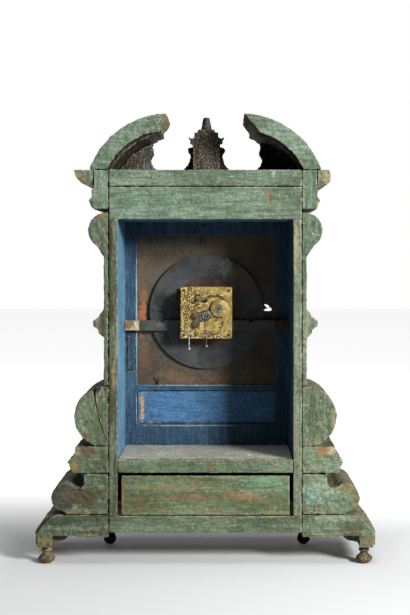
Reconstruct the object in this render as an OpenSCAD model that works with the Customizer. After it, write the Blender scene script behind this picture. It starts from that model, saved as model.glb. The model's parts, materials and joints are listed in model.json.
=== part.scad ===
/* [Case] */
// Inside width of the case
case_in_w = 395; // [370:1:430]
// Thickness of the side walls
wall_t = 20; // [14:1:24]
// Inside depth, from the back to the front board
inner_d = 200; // [185:1:240]
// Thickness of the front board
front_t = 18; // [14:1:24]
// Thickness of the rails along the back
rail_t = 18; // [12:1:24]
// Height of the underside of the bottom rail
rail_z = 72; // [66:1:80]
// Height of the bottom rail
base_rail_h = 37.6; // [30:0.1:44]
// Height of the drawer front
drawer_h = 90; // [80:1:92]
// Height of the top of the shelf
shelf_z = 237.6; // [232:0.1:248]
// Thickness of the shelf, bottom and roof boards
board_t = 16; // [10:1:20]
// Height of the case opening above the shelf
opening_h = 540; // [530:1:570]
// Height of the frieze rail
frieze_h = 74; // [60:1:90]
// Height of the cornice rail
cornice_h = 37; // [36:1:50]
// Open joint between the frieze and cornice rails
shrink_gap = 1.4; // [0.5:0.1:3]

/* [Front board] */
// Width of the dial opening seen from inside
dial_open_w = 338.8; // [320:0.1:350]
// Height of the dial opening seen from inside
dial_open_h = 362.4; // [350:0.1:368]
// Height of the rail between dial and lower panel
mid_rail_h = 15.6; // [10:0.1:24]
// Height of the lower panel opening
panel_open_h = 79; // [60:1:84]
// Depth of the rebate that the dial sits in
rebate_d = 6; // [4:0.5:9]
// Width of the ledge round each opening
ledge_w = 12; // [6:1:18]
// Depth of the rebate that the lower panel sits in
panel_rebate_d = 11; // [8:0.5:14]
// Thickness of the lower panel
panel_t = 5; // [3:0.5:6]

/* [Wings] */
// Width of each plinth block without its volute
plinth_w = 98; // [92:0.5:102]
// Width of the blocks that carry the cornice
entab_w = 35; // [32:0.5:37]
// Radius of the lower scroll of each wing
scroll_r = 68.5; // [60:0.5:72]
// Width of the wing stem
stem_w = 11.5; // [8:0.5:16]
// Radius of the upper scroll of each wing
upper_r = 41; // [34:0.5:44]
// Radius of the volute of each plinth block
volute_r = 32; // [26:0.5:34]
// Gap between a wing and the case wall
wing_gap = 0.5; // [0.3:0.1:2]
// How far the front part of a foot stands out past its back part
foot_rim = 7; // [3:0.5:12]

/* [Pediment] */
// Outer radius of the broken arch
arch_r = 191; // [180:1:196]
// Width of the arch band
arch_band = 39; // [30:1:46]
// How far each arch's foot stands out past the side wall
arch_out = 45; // [42:0.5:47]
// Thickness of the green face of each arch
arch_face_t = 22; // [16:1:30]
// Thickness of the dark lining under each arch
lining_t = 6.5; // [4:0.5:9]
// Depth of the arches from the back
arch_d = 190; // [150:1:200]
// How far the cornice stands out
cornice_out = 45.5; // [30:0.5:50]
// Width of the middle pedestal
pedestal_w = 114; // [100:1:124]

/* [Feet] */
// Height of the turned back feet
foot_h = 38; // [30:1:44]
// Largest radius of a turned back foot
foot_r = 19; // [14:0.5:22]
// Radius of the front ball feet
ball_r = 16; // [12:0.5:20]

/* [Dial] */
// Height of the dial centre above the shelf
dial_up = 322.9; // [318:0.1:326]
// Thickness of the dial plate
dial_t = 1.2; // [0.8:0.1:2]
// Mean radius of the hour slot and the hour windows
slot_r = 111; // [108:0.5:113]
// Radial width of the hour slot
slot_w = 38; // [34:0.5:40]
// Angle of the slot's ends above the horizontal
slot_end = 9; // [8:1:14]

/* [Carrier] */
// Width of the iron ring from the hour windows' middle outwards
ring_out_w = 27; // [24:0.5:31]
// Width of the iron ring from the hour windows' middle inwards
ring_in_w = 27; // [25:0.5:31]
// Thickness of the iron ring
ring_t = 2; // [1.5:0.1:3]
// Thickness of the carrier disc, the mask and the hour discs
sheet_t = 0.8; // [0.6:0.1:1]
// Radius of the hour windows
window_r = 16.5; // [14:0.5:17]
// Radius of an hour disc
disc_r = 56; // [52:0.5:57]
// Distance of the numerals from the middle of their disc
numeral_r = 40; // [38:0.5:42]
// Height of a numeral
numeral_h = 17; // [12:0.5:19]
// Width of a pierced stroke
stroke_w = 2.1; // [1.4:0.1:2.4]
// Radius of the carrier's fixed post
post_r = 5; // [3.5:0.1:6]

/* [Iron bar] */
// Height of the iron bar
bar_h = 24.7; // [20:0.1:28]
// Thickness of the iron bar
bar_t = 4; // [3:0.5:5]
// Depth of the bar's top edge below the dial centre
bar_drop = 20.1; // [18:0.1:24]
// Radius of the two light notches in the bar
notch_r = 7; // [4:0.5:9]

/* [Movement] */
// Side of the square plates
plate_w = 122; // [118:1:130]
// Thickness of the plates
plate_t = 2.5; // [2:0.1:3.5]
// Clear distance between the plates
plate_gap = 38; // [36:1:44]
// Distance of the pillars from the middle, each way
pillar_at = 53; // [50:0.5:55]
// Radius of a pillar
pillar_r = 4; // [3:0.5:5]
// Leaves of every pinion
pinion_n = 8; // [8:1:8]
// Teeth of the barrel, centre and third wheels
wheel_n = 72; // [72:1:72]
// Teeth of the carrier wheel
carrier_n = 64; // [64:1:64]
// Tooth module of the barrel and its pinion
barrel_m = 0.75; // [0.72:0.01:0.78]
// Tooth module of the centre wheel and its pinion
centre_m = 0.7; // [0.68:0.01:0.72]
// Tooth module of the third wheel and its pinion
third_m = 0.55; // [0.54:0.01:0.56]
// Tooth module of the carrier wheel and its pinion
carrier_m = 0.8; // [0.78:0.01:0.82]
// Radius of the escape wheel
escape_r = 13; // [12:0.1:14]
// Distance of the escape wheel from the pendulum arbor
escape_far = 20; // [19:0.1:21]
// Length of the pendulum
pendulum_l = 74; // [66:1:80]
// Radius of the pendulum ball
bob_r = 4.2; // [3:0.1:6]
// Radial play of a pivot in its hole
pivot_play = 0.05; // [0.02:0.01:0.1]

/* [Drawer] */
// Thickness of the drawer sides
drawer_side_t = 10; // [6:1:14]
// Thickness of the drawer bottom
drawer_base_t = 7; // [5:1:10]
// Play of the drawer to each side
drawer_play = 0.6; // [0.4:0.1:1.5]
// Thickness of the side guides of the drawer
guide_t = 6.5; // [4:0.5:10]

/* [Hidden] */

$fn = 64;
eps = 0.01;
half_in = case_in_w / 2;
half_w = half_in + wall_t;
wing_x = half_w + wing_gap;
back_y = (inner_d + front_t + cornice_out) / 2;
floor_z = rail_z + base_rail_h;
frieze_z = shelf_z + opening_h;
cornice_z = frieze_z + frieze_h + shrink_gap;
top_z = cornice_z + cornice_h;
dial_z = shelf_z + dial_up;
front_d = inner_d + front_t;

// Depths from the back plane of the dial work, front to back
dial_back = inner_d + rebate_d - dial_t;
mask_back = dial_back - 2.2;
star_t = 1.6;
disc_back = mask_back - star_t - sheet_t;
disc_front_gap = 2.6;
web_back = disc_back - disc_front_gap;
ring_back = web_back - ring_t;
bar_back = inner_d - 16;
front_plate_back = bar_back - plate_t;
back_plate_front = front_plate_back - plate_gap;
back_plate_back = back_plate_front - plate_t;
gear_front = bar_back + bar_t + 3;
gear_back = gear_front - 1.6;

// Arbor places in the plane of the plates, measured from the dial centre
barrel_at = [-31, 11];
pendulum_at = [0, -5];
centre_at = meet([0, 0], (pinion_n + carrier_n) * carrier_m / 2,
                 barrel_at, (pinion_n + wheel_n) * barrel_m / 2);
third_at = centre_at + (pinion_n + wheel_n) * centre_m / 2 * [cos(-30), sin(-30)];
escape_at = meet(pendulum_at, escape_far, third_at, (pinion_n + wheel_n) * third_m / 2);
disc_at = slot_r - numeral_r;
// Radii of the iron ring round the hour windows
ring_r = slot_r + ring_out_w;
ring_in = slot_r - ring_in_w;
pin_at = disc_at + 9.8;
click_at = [-26, -15];
lever_at = [41, -50];
oval_at = [6.6, 30];

// Depth levels of the wheels between the plates
barrel_wheel_d = front_plate_back - 3;
barrel_drum_h = 16;
centre_wheel_d = barrel_wheel_d - barrel_drum_h - 5;
third_wheel_d = centre_wheel_d - 5;
escape_wheel_d = third_wheel_d - 4;
wheel_t = 1.4;
thin_t = 1;
arbor_r = 1.3;
pivot_r = 0.8;
escape_n = 20;
ratchet_n = 24;
ratchet_r = 14;
barrel_r = 22;
cap_r = 21.5;
click_dir = -115;
star_points = 6;

// Angle of a line from one point to another
function heading(a, b) = atan2(b[1] - a[1], b[0] - a[0]);
// The point at distance ra from a and rb from b, on the right of the line from a to b
function meet(a, ra, b, rb) =
    let (d = norm(b - a), u = (b - a) / d, s = (ra * ra - rb * rb + d * d) / (2 * d))
    a + s * u + sqrt(ra * ra - s * s) * [u[1], -u[0]];
// Place of a wing point across, in proportion to the plinth block
function out(w) = wing_x + w * plinth_w / 98;
// Height of a wing point, in proportion to the case
function up(z) = z * top_z / 890;
// Phase of a driven gear that meshes with a gear of known phase
function meshed(theta, n1, phase1, n2) =
    theta + 180 + 180 / n2 - (phase1 - theta) * n1 / n2;
// Points of one arc
function arc(c, r, a0, a1, n) = [for (i = [0:n]) c + polar(r, a0 + (a1 - a0) * i / n)];
// A point given by radius and angle
function polar(r, a) = r * [cos(a), sin(a)];

centre_phase = 0;
carrier_phase = meshed(heading(centre_at, [0, 0]), pinion_n, centre_phase, carrier_n);
barrel_phase = meshed(heading(centre_at, barrel_at), pinion_n, centre_phase, wheel_n);
third_phase = meshed(heading(centre_at, third_at), wheel_n, centre_phase, pinion_n);
escape_pinion_phase = meshed(heading(third_at, escape_at), wheel_n, third_phase, pinion_n);
pallet_swing = acos(escape_r / escape_far);
pallet_dir = heading(escape_at, pendulum_at);
escape_phase = pallet_dir + pallet_swing + 90 / escape_n;

// A flat outline in the X-Z plane, from depth d0 to depth d1 measured forward from the back
module slab(d0, d1) {
    translate([0, back_y - d0, 0]) rotate([90, 0, 0]) linear_extrude(d1 - d0) children();
}

// A round rod along the depth
module rod(p, r, d0, d1) {
    translate([p[0], back_y - d0, p[1]]) rotate([90, 0, 0]) cylinder(h = d1 - d0, r = r);
}

// A box from x0 to x1 and z0 to z1
module board(x0, x1, z0, z1, d0, d1) {
    translate([x0, back_y - d1, z0]) cube([x1 - x0, d1 - d0, z1 - z0]);
}

// The child and its mirror image
module both() {
    children();
    mirror([1, 0, 0]) children();
}

// Moves a child to a place given from the dial centre
module at_dial(p = [0, 0]) {
    translate([p[0], 0, dial_z + p[1]]) children();
}

// Flat outline of a wheel or pinion, with a tooth centred on the angle phase
module toothed(n, m, phase, half_tooth, addendum, dedendum) {
    pitch_r = n * m / 2;
    turn = 180 / PI / pitch_r;
    w = half_tooth * m;
    rim = pitch_r - dedendum * m;
    polygon([for (i = [0:n - 1], q = [
            [rim, -1], [pitch_r, -1], [pitch_r + 0.7 * addendum * m, -0.72], [pitch_r + addendum * m, -0.2],
            [pitch_r + addendum * m, 0.2], [pitch_r + 0.7 * addendum * m, 0.72], [pitch_r, 1], [rim, 1]])
        polar(q[0], phase + 360 * i / n + q[1] * w * turn)]);
}

module wheel_outline(n, m, phase) {
    toothed(n, m, phase, 0.68, 1.3, 1.15);
}

module pinion_outline(m, phase) {
    toothed(pinion_n, m, phase, 0.5, 0.65, 1.75);
}

// Spoked web inside a wheel rim
module spokes(r_in, r_out, count, w, turn = 0) {
    for (i = [0:count - 1]) {
        rotate(turn + i * 360 / count) intersection() {
            translate([0, -w / 2]) square([r_out, w]);
            circle(r = r_out);
        }
    }
    circle(r = r_in);
}

// A crossed-out clock wheel at its depth
module crossed_wheel(n, m, phase, d, t, hub_r) {
    rim_r = n * m / 2 - 1.15 * m - 2;
    slab(d - t, d) {
        difference() {
            wheel_outline(n, m, phase);
            circle(r = rim_r);
        }
        spokes(hub_r, rim_r + 0.5, 4, 2.6, 20);
    }
}

// Arbor with thinner pivots at both ends
module arbor(d0, d1, r = arbor_r) {
    rod([0, 0], r, d0, d1);
    rod([0, 0], pivot_r, d0 - 2.6, d1 + 2.6);
}

module side_wall() {
    board(half_in, half_w, rail_z, top_z - board_t, rail_t, inner_d);
    board(half_in, half_w, floor_z, frieze_z, 0, rail_t + eps);
}

module left_wall() {
    color("steelblue") side_wall();
}

module right_wall() {
    color("steelblue") mirror([1, 0, 0]) side_wall();
}

module frieze_rail() {
    color("darkseagreen") board(-half_w, half_w, frieze_z, frieze_z + frieze_h, 0, rail_t);
}

module cornice_rail() {
    color("darkseagreen") board(-half_w, half_w, cornice_z, top_z, 0, rail_t);
}

module base_rail() {
    color("darkseagreen") board(-half_w, half_w, rail_z, floor_z, 0, rail_t);
}

module shelf_rail() {
    color("darkseagreen") board(-half_in, half_in, floor_z + drawer_h + 7, shelf_z, 0, rail_t);
}

module shelf_board() {
    color("darkgray") board(-half_in, half_in, shelf_z - board_t, shelf_z, rail_t, inner_d);
}

module ceiling_board() {
    color("steelblue") board(-half_in, half_in, frieze_z, frieze_z + board_t, rail_t, inner_d);
}

module roof_board() {
    color("darkseagreen") board(-half_w, half_w, top_z - board_t, top_z, rail_t, inner_d);
}

module bottom_board() {
    color("darkseagreen") board(-half_in, half_in, floor_z - board_t, floor_z, rail_t, inner_d);
}

dial_low = frieze_z - 31.5 - dial_open_h;
panel_low = dial_low - mid_rail_h - panel_open_h;
drawer_half = half_in - guide_t - drawer_play;
drawer_top = floor_z + drawer_h + 0.6;

// Front board with its dial, panel and drawer openings
module front_board() {
    half = dial_open_w / 2;
    color("midnightblue") difference() {
        board(-half_w, half_w, rail_z, top_z, inner_d, front_d);
        board(-half, half, dial_low, dial_low + dial_open_h, inner_d - 1, inner_d + rebate_d);
        board(-half + ledge_w, half - ledge_w, dial_low + ledge_w, dial_low + dial_open_h - ledge_w,
              inner_d - 1, front_d + 1);
        board(-half, half, panel_low, panel_low + panel_open_h, inner_d - 1, inner_d + panel_rebate_d);
        board(-half + ledge_w, half - ledge_w, panel_low + ledge_w, panel_low + panel_open_h - ledge_w,
              inner_d - 1, front_d + 1);
        board(-drawer_half - drawer_play, drawer_half + drawer_play, floor_z, drawer_top,
              inner_d - 1, front_d + 1);
    }
}

module lower_panel() {
    half = dial_open_w / 2;
    color("royalblue") board(-half, half, panel_low, panel_low + panel_open_h,
                             inner_d + panel_rebate_d - panel_t, inner_d + panel_rebate_d);
}

// Applied mouldings of the front: dial surround, panel surround, ledge and architrave
module front_mouldings() {
    half = dial_open_w / 2 - ledge_w;
    lip = 14;
    color("saddlebrown") {
        difference() {
            board(-half - lip, half + lip, dial_low + ledge_w - lip, dial_low + dial_open_h - ledge_w + lip,
                  front_d, front_d + 8);
            board(-half, half, dial_low + ledge_w, dial_low + dial_open_h - ledge_w, front_d - 1, front_d + 9);
        }
        difference() {
            board(-half - lip, half + lip, panel_low + 1, panel_low + panel_open_h - ledge_w + 8,
                  front_d, front_d + 6);
            board(-half, half, panel_low + ledge_w, panel_low + panel_open_h - ledge_w,
                  front_d - 1, front_d + 9);
        }
        board(-half_w - 10, half_w + 10, drawer_top + 6, shelf_z, front_d, front_d + 40);
        board(-half_w - 10, half_w + 10, frieze_z, frieze_z + 12, front_d, front_d + 40);
        board(-half_w - 10, half_w + 10, rail_z, floor_z - 6, front_d, front_d + 36);
    }
}

// Turned columns that flank the dial
module front_columns() {
    col_h = frieze_z - shelf_z;
    color("saddlebrown") both() translate([half_w - 20, back_y - front_d - 19, shelf_z]) rotate_extrude()
        polygon(concat(
            [[0, 0], [18, 0], [18, 14]],
            arc([14.5, 18], 3.5, -90, 90, 6),
            [[12.5, 24], [12.8, col_h * 0.4], [11, col_h - 30]],
            arc([11, col_h - 25], 3.5, -90, 90, 6),
            [[12, col_h - 18], [18, col_h - 8], [18, col_h], [0, col_h]]));
}

cornice_profile = [[0, 0], [3.5, 0], [16, 6], [28, 12], [35, 19], [40, 26], [45.5, 41.5], [0, 41.5]];

// Cornice moulding: two side returns, one with its back corner lost, and the front run
module cornice_moulding() {
    k = cornice_out / 45.5;
    outer = half_w + entab_w;
    low = top_z - 41.5 * k;
    lost = outer + 0.63 * cornice_out;
    color("darkseagreen") difference() {
        both() slab(0, front_d) translate([outer, low]) polygon(cornice_profile * k);
        board(-lost - cornice_out, -lost, low - 1, top_z + 1, -1, 60);
    }
    color("darkseagreen") {
        translate([-outer, back_y - front_d, low]) rotate([90, 0, 90])
            linear_extrude(2 * outer) mirror([1, 0]) polygon(cornice_profile * k);
        both() intersection() {
            slab(front_d, front_d + cornice_out) translate([outer, low]) polygon(cornice_profile * k);
            translate([outer - 1, back_y - front_d, low]) rotate([90, 0, 90])
                linear_extrude(cornice_out + 1) mirror([1, 0]) polygon(cornice_profile * k);
        }
    }
}

// Block that carries the cornice outside one wall, its lower part swollen by the given amount
module entablature_block(swell) {
    w = entab_w - wing_gap;
    side = [[0, -43], [swell, -44], [swell, -62], [swell + 6, -69], [swell + 3, -76], [swell, -85], [-1, -90]];
    slab(0, front_d) polygon(concat(
        [[wing_x, entab_z], [wing_x, top_z], [wing_x + w, top_z]],
        [for (q = side) [wing_x + w + q[0], top_z + up(q[1])]]));
}

module entablature_blocks() {
    color("darkseagreen") {
        entablature_block(5);
        mirror([1, 0, 0]) entablature_block(1.5);
    }
}

entab_z = top_z - up(90);
foot_top = up(112.5);
block_z = up(113.5);
block_top = up(204.5);
cap_z = up(205.5);
cap_top = up(266.5);
scroll_z = up(267.5);
stem_z = up(404);
knop_z = up(547);

// Upper scroll, stem and small knop of each wing
module upper_scrolls() {
    c = [wing_x + 6, entab_z - 6 - upper_r];
    stem_x = wing_x + stem_w;
    color("darkseagreen") both() slab(0, inner_d) difference() {
        union() {
            translate(c) circle(r = upper_r);
            polygon([[wing_x, stem_z], [stem_x, stem_z], [stem_x, c[1] - 60], [stem_x + 14, c[1] - 38],
                     [stem_x + 14, c[1]], [wing_x, c[1]]]);
            translate([stem_x, knop_z]) scale(upper_r / 41) polygon([
                [-1, 30], [8, 19], [10, 13], [24, 2], [24, -10], [13, -17], [11, -27], [-1, -36]]);
        }
        square([wing_x, top_z]);
    }
}

// Large lower scroll of each wing
module lower_scrolls() {
    color("darkseagreen") both() slab(0, inner_d) intersection() {
        translate([wing_x + 10, scroll_z + scroll_r - 3]) circle(r = scroll_r);
        translate([wing_x, scroll_z]) square([3 * scroll_r, stem_z - scroll_z]);
    }
}

// Moulded caps of the plinth blocks
module plinth_caps() {
    color("darkseagreen") both() slab(0, inner_d) polygon([
        [wing_x, cap_z], [out(83), cap_z], [out(90), up(223.5)], [out(94), up(230.5)], [out(84), up(241.5)],
        [out(77), up(250.5)], [out(75), cap_top], [wing_x, cap_top]]);
}

// Plinth blocks, each with its volute
module plinth_blocks() {
    color("darkseagreen") both() slab(0, inner_d) {
        polygon([
            [wing_x, block_z], [out(98), block_z], [out(98), up(176)], [out(78), up(176)], [out(64), up(173)],
            [out(57), up(180)], [out(57), block_top], [wing_x, block_top]]);
        translate([out(98), block_z + volute_r + 5.5]) circle(r = volute_r);
    }
}

// Foot boards: a plain back part and a wider moulded front part
module foot_boards() {
    back = 24;
    color("darkseagreen") both() {
        slab(0, back) polygon([
            [wing_x, up(61)], [out(127), up(64)], [out(129), foot_h], [out(161.5), foot_h], [out(163), up(70)],
            [out(146), up(92)], [out(134), up(106)], [out(120), foot_top], [wing_x, foot_top]]);
        slab(back - eps, inner_d) polygon([
            [wing_x, up(61)], [out(82), up(64)], [out(92), up(60)], [out(100), up(51)], [out(114), up(46)],
            [out(129), up(45)], [out(129), foot_h], [out(161.5) + foot_rim, foot_h],
            [out(163) + foot_rim, up(70)], [out(146) + foot_rim, up(92)], [out(134) + foot_rim, up(106)],
            [out(120) + foot_rim, foot_top], [wing_x, foot_top]]);
    }
}

arch_k = arch_r / 191;
arch_rise = 64 * arch_k;
arch_z = top_z - arch_rise;
arch_in = arch_r - arch_band;
arch_x = half_w + arch_out - sqrt(arch_r * arch_r - arch_rise * arch_rise);

// Points given from the crown of an arch, across and downwards
function from_crown(points) = [for (q = points) [arch_x + q[0] * arch_k, arch_z + arch_r - q[1] * arch_k]];

// One half of the broken arch: green face, and lined front part with a stepped cut end
module half_arch() {
    c = [arch_x, arch_z];
    lined = arch_in - lining_t;
    slab(0, arch_face_t) polygon(concat(
        arc(c, arch_r, asin(arch_rise / arch_r), 88.6, 36),
        from_crown([[19, 20], [28, 29], [34.5, 37]]),
        arc(c, arch_in, 75, asin(arch_rise / arch_in), 24)));
    slab(arch_face_t - eps, arch_d) polygon(concat(
        arc(c, arch_r, asin(arch_rise / arch_r), 88.8, 36),
        from_crown([[6, 7], [12, 17], [20, 26], [19, 38], [34, 42.5], [36, 47]]),
        arc(c, lined, 71, asin(arch_rise / lined), 24)));
}

module pediment_arches() {
    color("darkseagreen") both() half_arch();
}

// Gouged panels under the arches
module tympanum_panels() {
    c = [arch_x, arch_z];
    edge = [
        [30, 0], [37, 12.5], [45, 20], [49, 29], [50, 34], [47, 42], [43, 47], [44, 58], [46, 67], [46, 100]];
    color("black") both() slab(arch_d - 50, arch_d - 5) intersection() {
        translate(c) circle(r = arch_in - lining_t - 0.8);
        polygon(concat([for (q = edge) [arch_x + q[0] * arch_k, top_z + q[1] * arch_k]],
                       [[arch_x + arch_r, top_z + arch_r], [arch_x + arch_r, top_z]]));
    }
}

pedestal_k = pedestal_w / 114;

// Outline that stands on the cornice, given by its right half
module standing_outline(half) {
    n = len(half);
    translate([0, top_z]) scale(pedestal_k)
        polygon(concat(half, [for (i = [1:n]) [-half[n - i][0], half[n - i][1]]]));
}

// Middle pedestal of the pediment: punched block in front of a curled side board
module pedestal() {
    color("black") {
        slab(arch_d - 60, arch_d - 40 + eps) standing_outline([
            [32.6, 0], [32.6, 70.5], [39.4, 71.5], [40.5, 85], [30, 86.5], [28.5, 99], [21, 99.5],
            [20.5, 106]]);
        slab(arch_d - 40, arch_d) standing_outline([
            [57, 0], [55.6, 12.5], [44, 24.7], [39, 42.5], [40, 50], [45, 56], [45.8, 60], [43.5, 64],
            [39, 65.5], [33.5, 66], [33.5, 85], [30, 86.5], [28.5, 99], [21, 99.5], [20.5, 106]]);
    }
}

// Stub of the lost finial
module finial_stub() {
    color("black") translate([0, back_y - arch_d + 38, top_z + 106 * pedestal_k]) rotate_extrude() polygon([
        [0, 0], [13, 0], [13, 3], [8.6, 27], [7, 29.5], [0, 30]]);
}

module turned_feet() {
    color("goldenrod") both() translate([out(142), back_y - 22, 0]) rotate_extrude() polygon([
        [0, 0], [10, 0], [foot_r - 2, 6], [foot_r, 11], [foot_r - 1, 14], [foot_r - 7, 19], [8.5, 23], [8, 25],
        [12, 28], [12, 32], [9.5, 34], [9.5, foot_h], [0, foot_h]]);
}

module ball_feet() {
    color("black") both() translate([half_w + 16, back_y - inner_d + 14, 0]) rotate_extrude() polygon(concat(
        [[0, 0]],
        arc([0, ball_r - 1], ball_r, -asin((ball_r - 1) / ball_r), 55, 16),
        [[9, 2 * ball_r], [9, 61.2], [0, 61.2]]));
}

module drawer_guides() {
    color("tan") both() board(half_in - guide_t, half_in, floor_z, floor_z + 30, rail_t, inner_d);
}

// Copper dial plate with the hour slot and two leaf piercings
module dial_plate() {
    half = dial_open_w / 2 - 0.4;
    a0 = slot_end;
    a1 = 180 - slot_end;
    color("sienna") {
        slab(dial_back, dial_back + dial_t) difference() {
            translate([-half, dial_low + 0.4]) square([2 * half, dial_open_h - 0.8]);
            translate([0, dial_z]) polygon(concat(
                arc([0, 0], slot_r + slot_w / 2, a0, a1, 48),
                arc([0, 0], slot_r - slot_w / 2, a1, a0, 48)));
            translate([-146, dial_z + 14]) leaf(14, 6, 35);
            translate([-149, dial_z + 5]) leaf(21, 7, -8);
        }
        at_dial(polar(pin_at, -90)) rod([0, 0], 1, mask_back - 0.6, dial_back + eps);
    }
}

// Pointed leaf outline
module leaf(l, w, turn) {
    rotate(turn) polygon([for (a = [0:24:336])
        [l / 2 * cos(a), w / 2 * sin(a) * (1 - 0.35 * cos(a))]]);
}

// Bent nails that hold the dial plate in its rebate
module dial_nails() {
    top = dial_low + dial_open_h;
    color("black") {
        for (x = [141, 12, 7, -120])
            translate([x, back_y - dial_back + 0.9, top - 17]) cylinder(h = 17, r = 0.9, $fn = 24);
        for (x = [124, -100])
            translate([x, back_y - dial_back + 0.9, dial_low]) cylinder(h = 14, r = 0.9, $fn = 24);
    }
}

hook_x = half_in - 8.5;
hook_z = dial_z - 61.5;

// Staple that the wire hook hangs from
module hook_staple() {
    color("black") {
        rod([hook_x, hook_z], 1.2, inner_d - 7, inner_d);
        rod([hook_x, hook_z], 3, inner_d - 8, inner_d - 7 + eps);
    }
}

// Wire hook on the stile, hanging from its eye
module hook() {
    r = 1;
    d = inner_d - 3.5;
    color("dimgray") {
        translate([hook_x, back_y - d, hook_z]) rotate([90, 0, 0]) rotate_extrude($fn = 48)
            translate([1.25 + r, 0]) circle(r = r, $fn = 24);
        translate([hook_x, back_y - d, hook_z - 72]) cylinder(h = 70, r = r, $fn = 24);
        translate([hook_x - 7, back_y - d, hook_z - 72]) rotate([90, 0, 0]) rotate([0, 0, 180])
            rotate_extrude(angle = 180, $fn = 48) translate([7, 0]) circle(r = r, $fn = 24);
    }
}

bar_top = -bar_drop;
block_w = 35;
tongue = 22;

// Iron bar that carries the movement across the case
module iron_bar() {
    half = half_in - block_w;
    color("dimgray") at_dial() difference() {
        slab(bar_back, bar_back + bar_t) difference() {
            translate([-half - tongue, bar_top - bar_h]) square([2 * (half + tongue), bar_h]);
            for (x = [-1, 1]) translate([x * 107, bar_top + 2]) circle(r = notch_r);
            for (x = [1, -1]) translate([x * (half + tongue), bar_top + 1])
                square([2 * tongue, 8], center = true);
        }
        for (x = [150, -93, -102]) rod([x, bar_top - 12], 1.4, bar_back - 1, bar_back + bar_t + 1);
    }
}

// Wooden blocks that hold the ends of the bar
module bar_blocks() {
    color("wheat") both() at_dial() difference() {
        slab(bar_back - 6, inner_d) translate([half_in - block_w, bar_top - bar_h]) square([block_w, bar_h]);
        slab(bar_back - 0.1, bar_back + bar_t + 0.1) translate([half_in - block_w - 1, bar_top - bar_h - 1])
            square([tongue + 1.2, bar_h - 2]);
    }
}

module plate_outline() {
    translate([-plate_w / 2, -plate_w / 2]) square([plate_w, plate_w]);
}

// Pivot holes that both plates share
module pivot_holes(points, d0, d1) {
    for (p = points) rod(p, pivot_r + pivot_play, d0, d1);
}

module front_plate() {
    d0 = front_plate_back;
    color("gold") at_dial() difference() {
        slab(d0, d0 + plate_t) plate_outline();
        pivot_holes([third_at, escape_at, pendulum_at], d0 - 1, d0 + plate_t + 1);
        rod(centre_at, arbor_r + pivot_play, d0 - 1, d0 + plate_t + 1);
        rod(barrel_at, 3 + pivot_play, d0 - 1, d0 + plate_t + 1);
    }
}

module back_plate() {
    d0 = back_plate_back;
    color("gold") at_dial() difference() {
        slab(d0, d0 + plate_t) difference() {
            plate_outline();
            translate([26, 36]) square([2.6, 24], center = true);
            translate(oval_at) scale([1.5, 1]) circle(r = 6.2);
        }
        pivot_holes([centre_at, third_at, escape_at], d0 - 1, d0 + plate_t + 1);
        rod(pendulum_at, arbor_r + 0.6, d0 - 1, d0 + plate_t + 1);
        rod(barrel_at, 3 + pivot_play, d0 - 1, d0 + plate_t + 1);
        for (p = [[17.5, 42.7], [-2.4, 46]]) rod(p, 1.6, d0 - 1, d0 + plate_t + 1);
    }
}

pillar_points = [for (x = [-1, 1], z = [-1, 1]) pillar_at * [x, z]];

module plate_pillars() {
    d0 = back_plate_front;
    d1 = front_plate_back;
    color("gold") at_dial() for (p = pillar_points) {
        rod(p, pillar_r, d0, d1);
        rod(p, pillar_r + 1.5, d0, d0 + 2);
        rod(p, pillar_r + 1.5, d1 - 2, d1);
        rod(p, pillar_r + 1.2, (d0 + d1) / 2 - 2, (d0 + d1) / 2 + 2);
    }
}

// Pillar nuts, and the screws that hold the front plate to the bar
module movement_fasteners() {
    color("dimgray") at_dial() {
        for (p = pillar_points) rod(p, 3, back_plate_back - 2, back_plate_back);
        for (x = [-38, 38]) {
            rod([x, -34], 3.2, bar_back + bar_t, bar_back + bar_t + 1.6);
            rod([x, -34], 3.2, front_plate_back - 1.6, front_plate_back);
        }
    }
}

cock_d = back_plate_back - 9;

// Leaf-shaped cock that carries the back pivot of the pendulum
module pendulum_cock() {
    color("darkolivegreen") at_dial() difference() {
        union() {
            slab(cock_d, cock_d + 2) polygon([
                [-6, -4], [-3, 2], [4, 4], [12, 1], [20, 4], [30, 0], [32, -8], [27, -14], [31, -22], [28, -33],
                [22, -37], [16, -31], [17, -24], [9, -19], [2, -12], [-4, -10]]);
            slab(cock_d + 2 - eps, back_plate_back) translate([22, -29]) circle(r = 6);
        }
        rod(pendulum_at, pivot_r + pivot_play, cock_d - 1, cock_d + 3);
        rod([22.4, -32], 1.5, cock_d - 1, cock_d + 4);
    }
}

// Domed cap over the ratchet, open below for the click
module barrel_cap() {
    color("goldenrod") at_dial() difference() {
        translate([barrel_at[0], back_y - back_plate_back, barrel_at[1]]) rotate([-90, 0, 0])
            rotate_extrude() polygon(concat(
                [[cap_r - 1.5, 0], [cap_r, 0], [cap_r, 3]],
                arc([cap_r - 3, 3.5], 3, 0, 80, 6),
                [[10, 7.6], [9.5, 8.6], [5, 9.4], [3.8, 9.4], [3.8, 6.6], [cap_r - 4, 5], [cap_r - 1.5, 3]]));
        slab(back_plate_back - 4, back_plate_back + 1) translate(barrel_at) rotate(click_dir + 26)
            translate([cap_r - 7, -6.5]) square([10, 13]);
    }
}

// Steel bridge over the oval opening, with its long regulator arm
module regulator_work() {
    d = back_plate_back;
    color("dimgray") at_dial() {
        slab(d - 4.6, d - 3) polygon([
            [21, 27], [22, 32], [9, 35], [-8, 41], [-30, 42], [-42, 38], [-43, 34], [-38, 36], [-28, 38.5],
            [-8, 37], [4, 31], [12, 28]]);
        rod([19, 29.5], 2.6, d - 5, d);
        rod([-40, 37], 1.6, d - 4.6, d);
        rod(oval_at + [1, 1], 2.4, d - 5.4, d + 2);
        rod([22, 22], 2.2, d - 2, d);
    }
}

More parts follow.
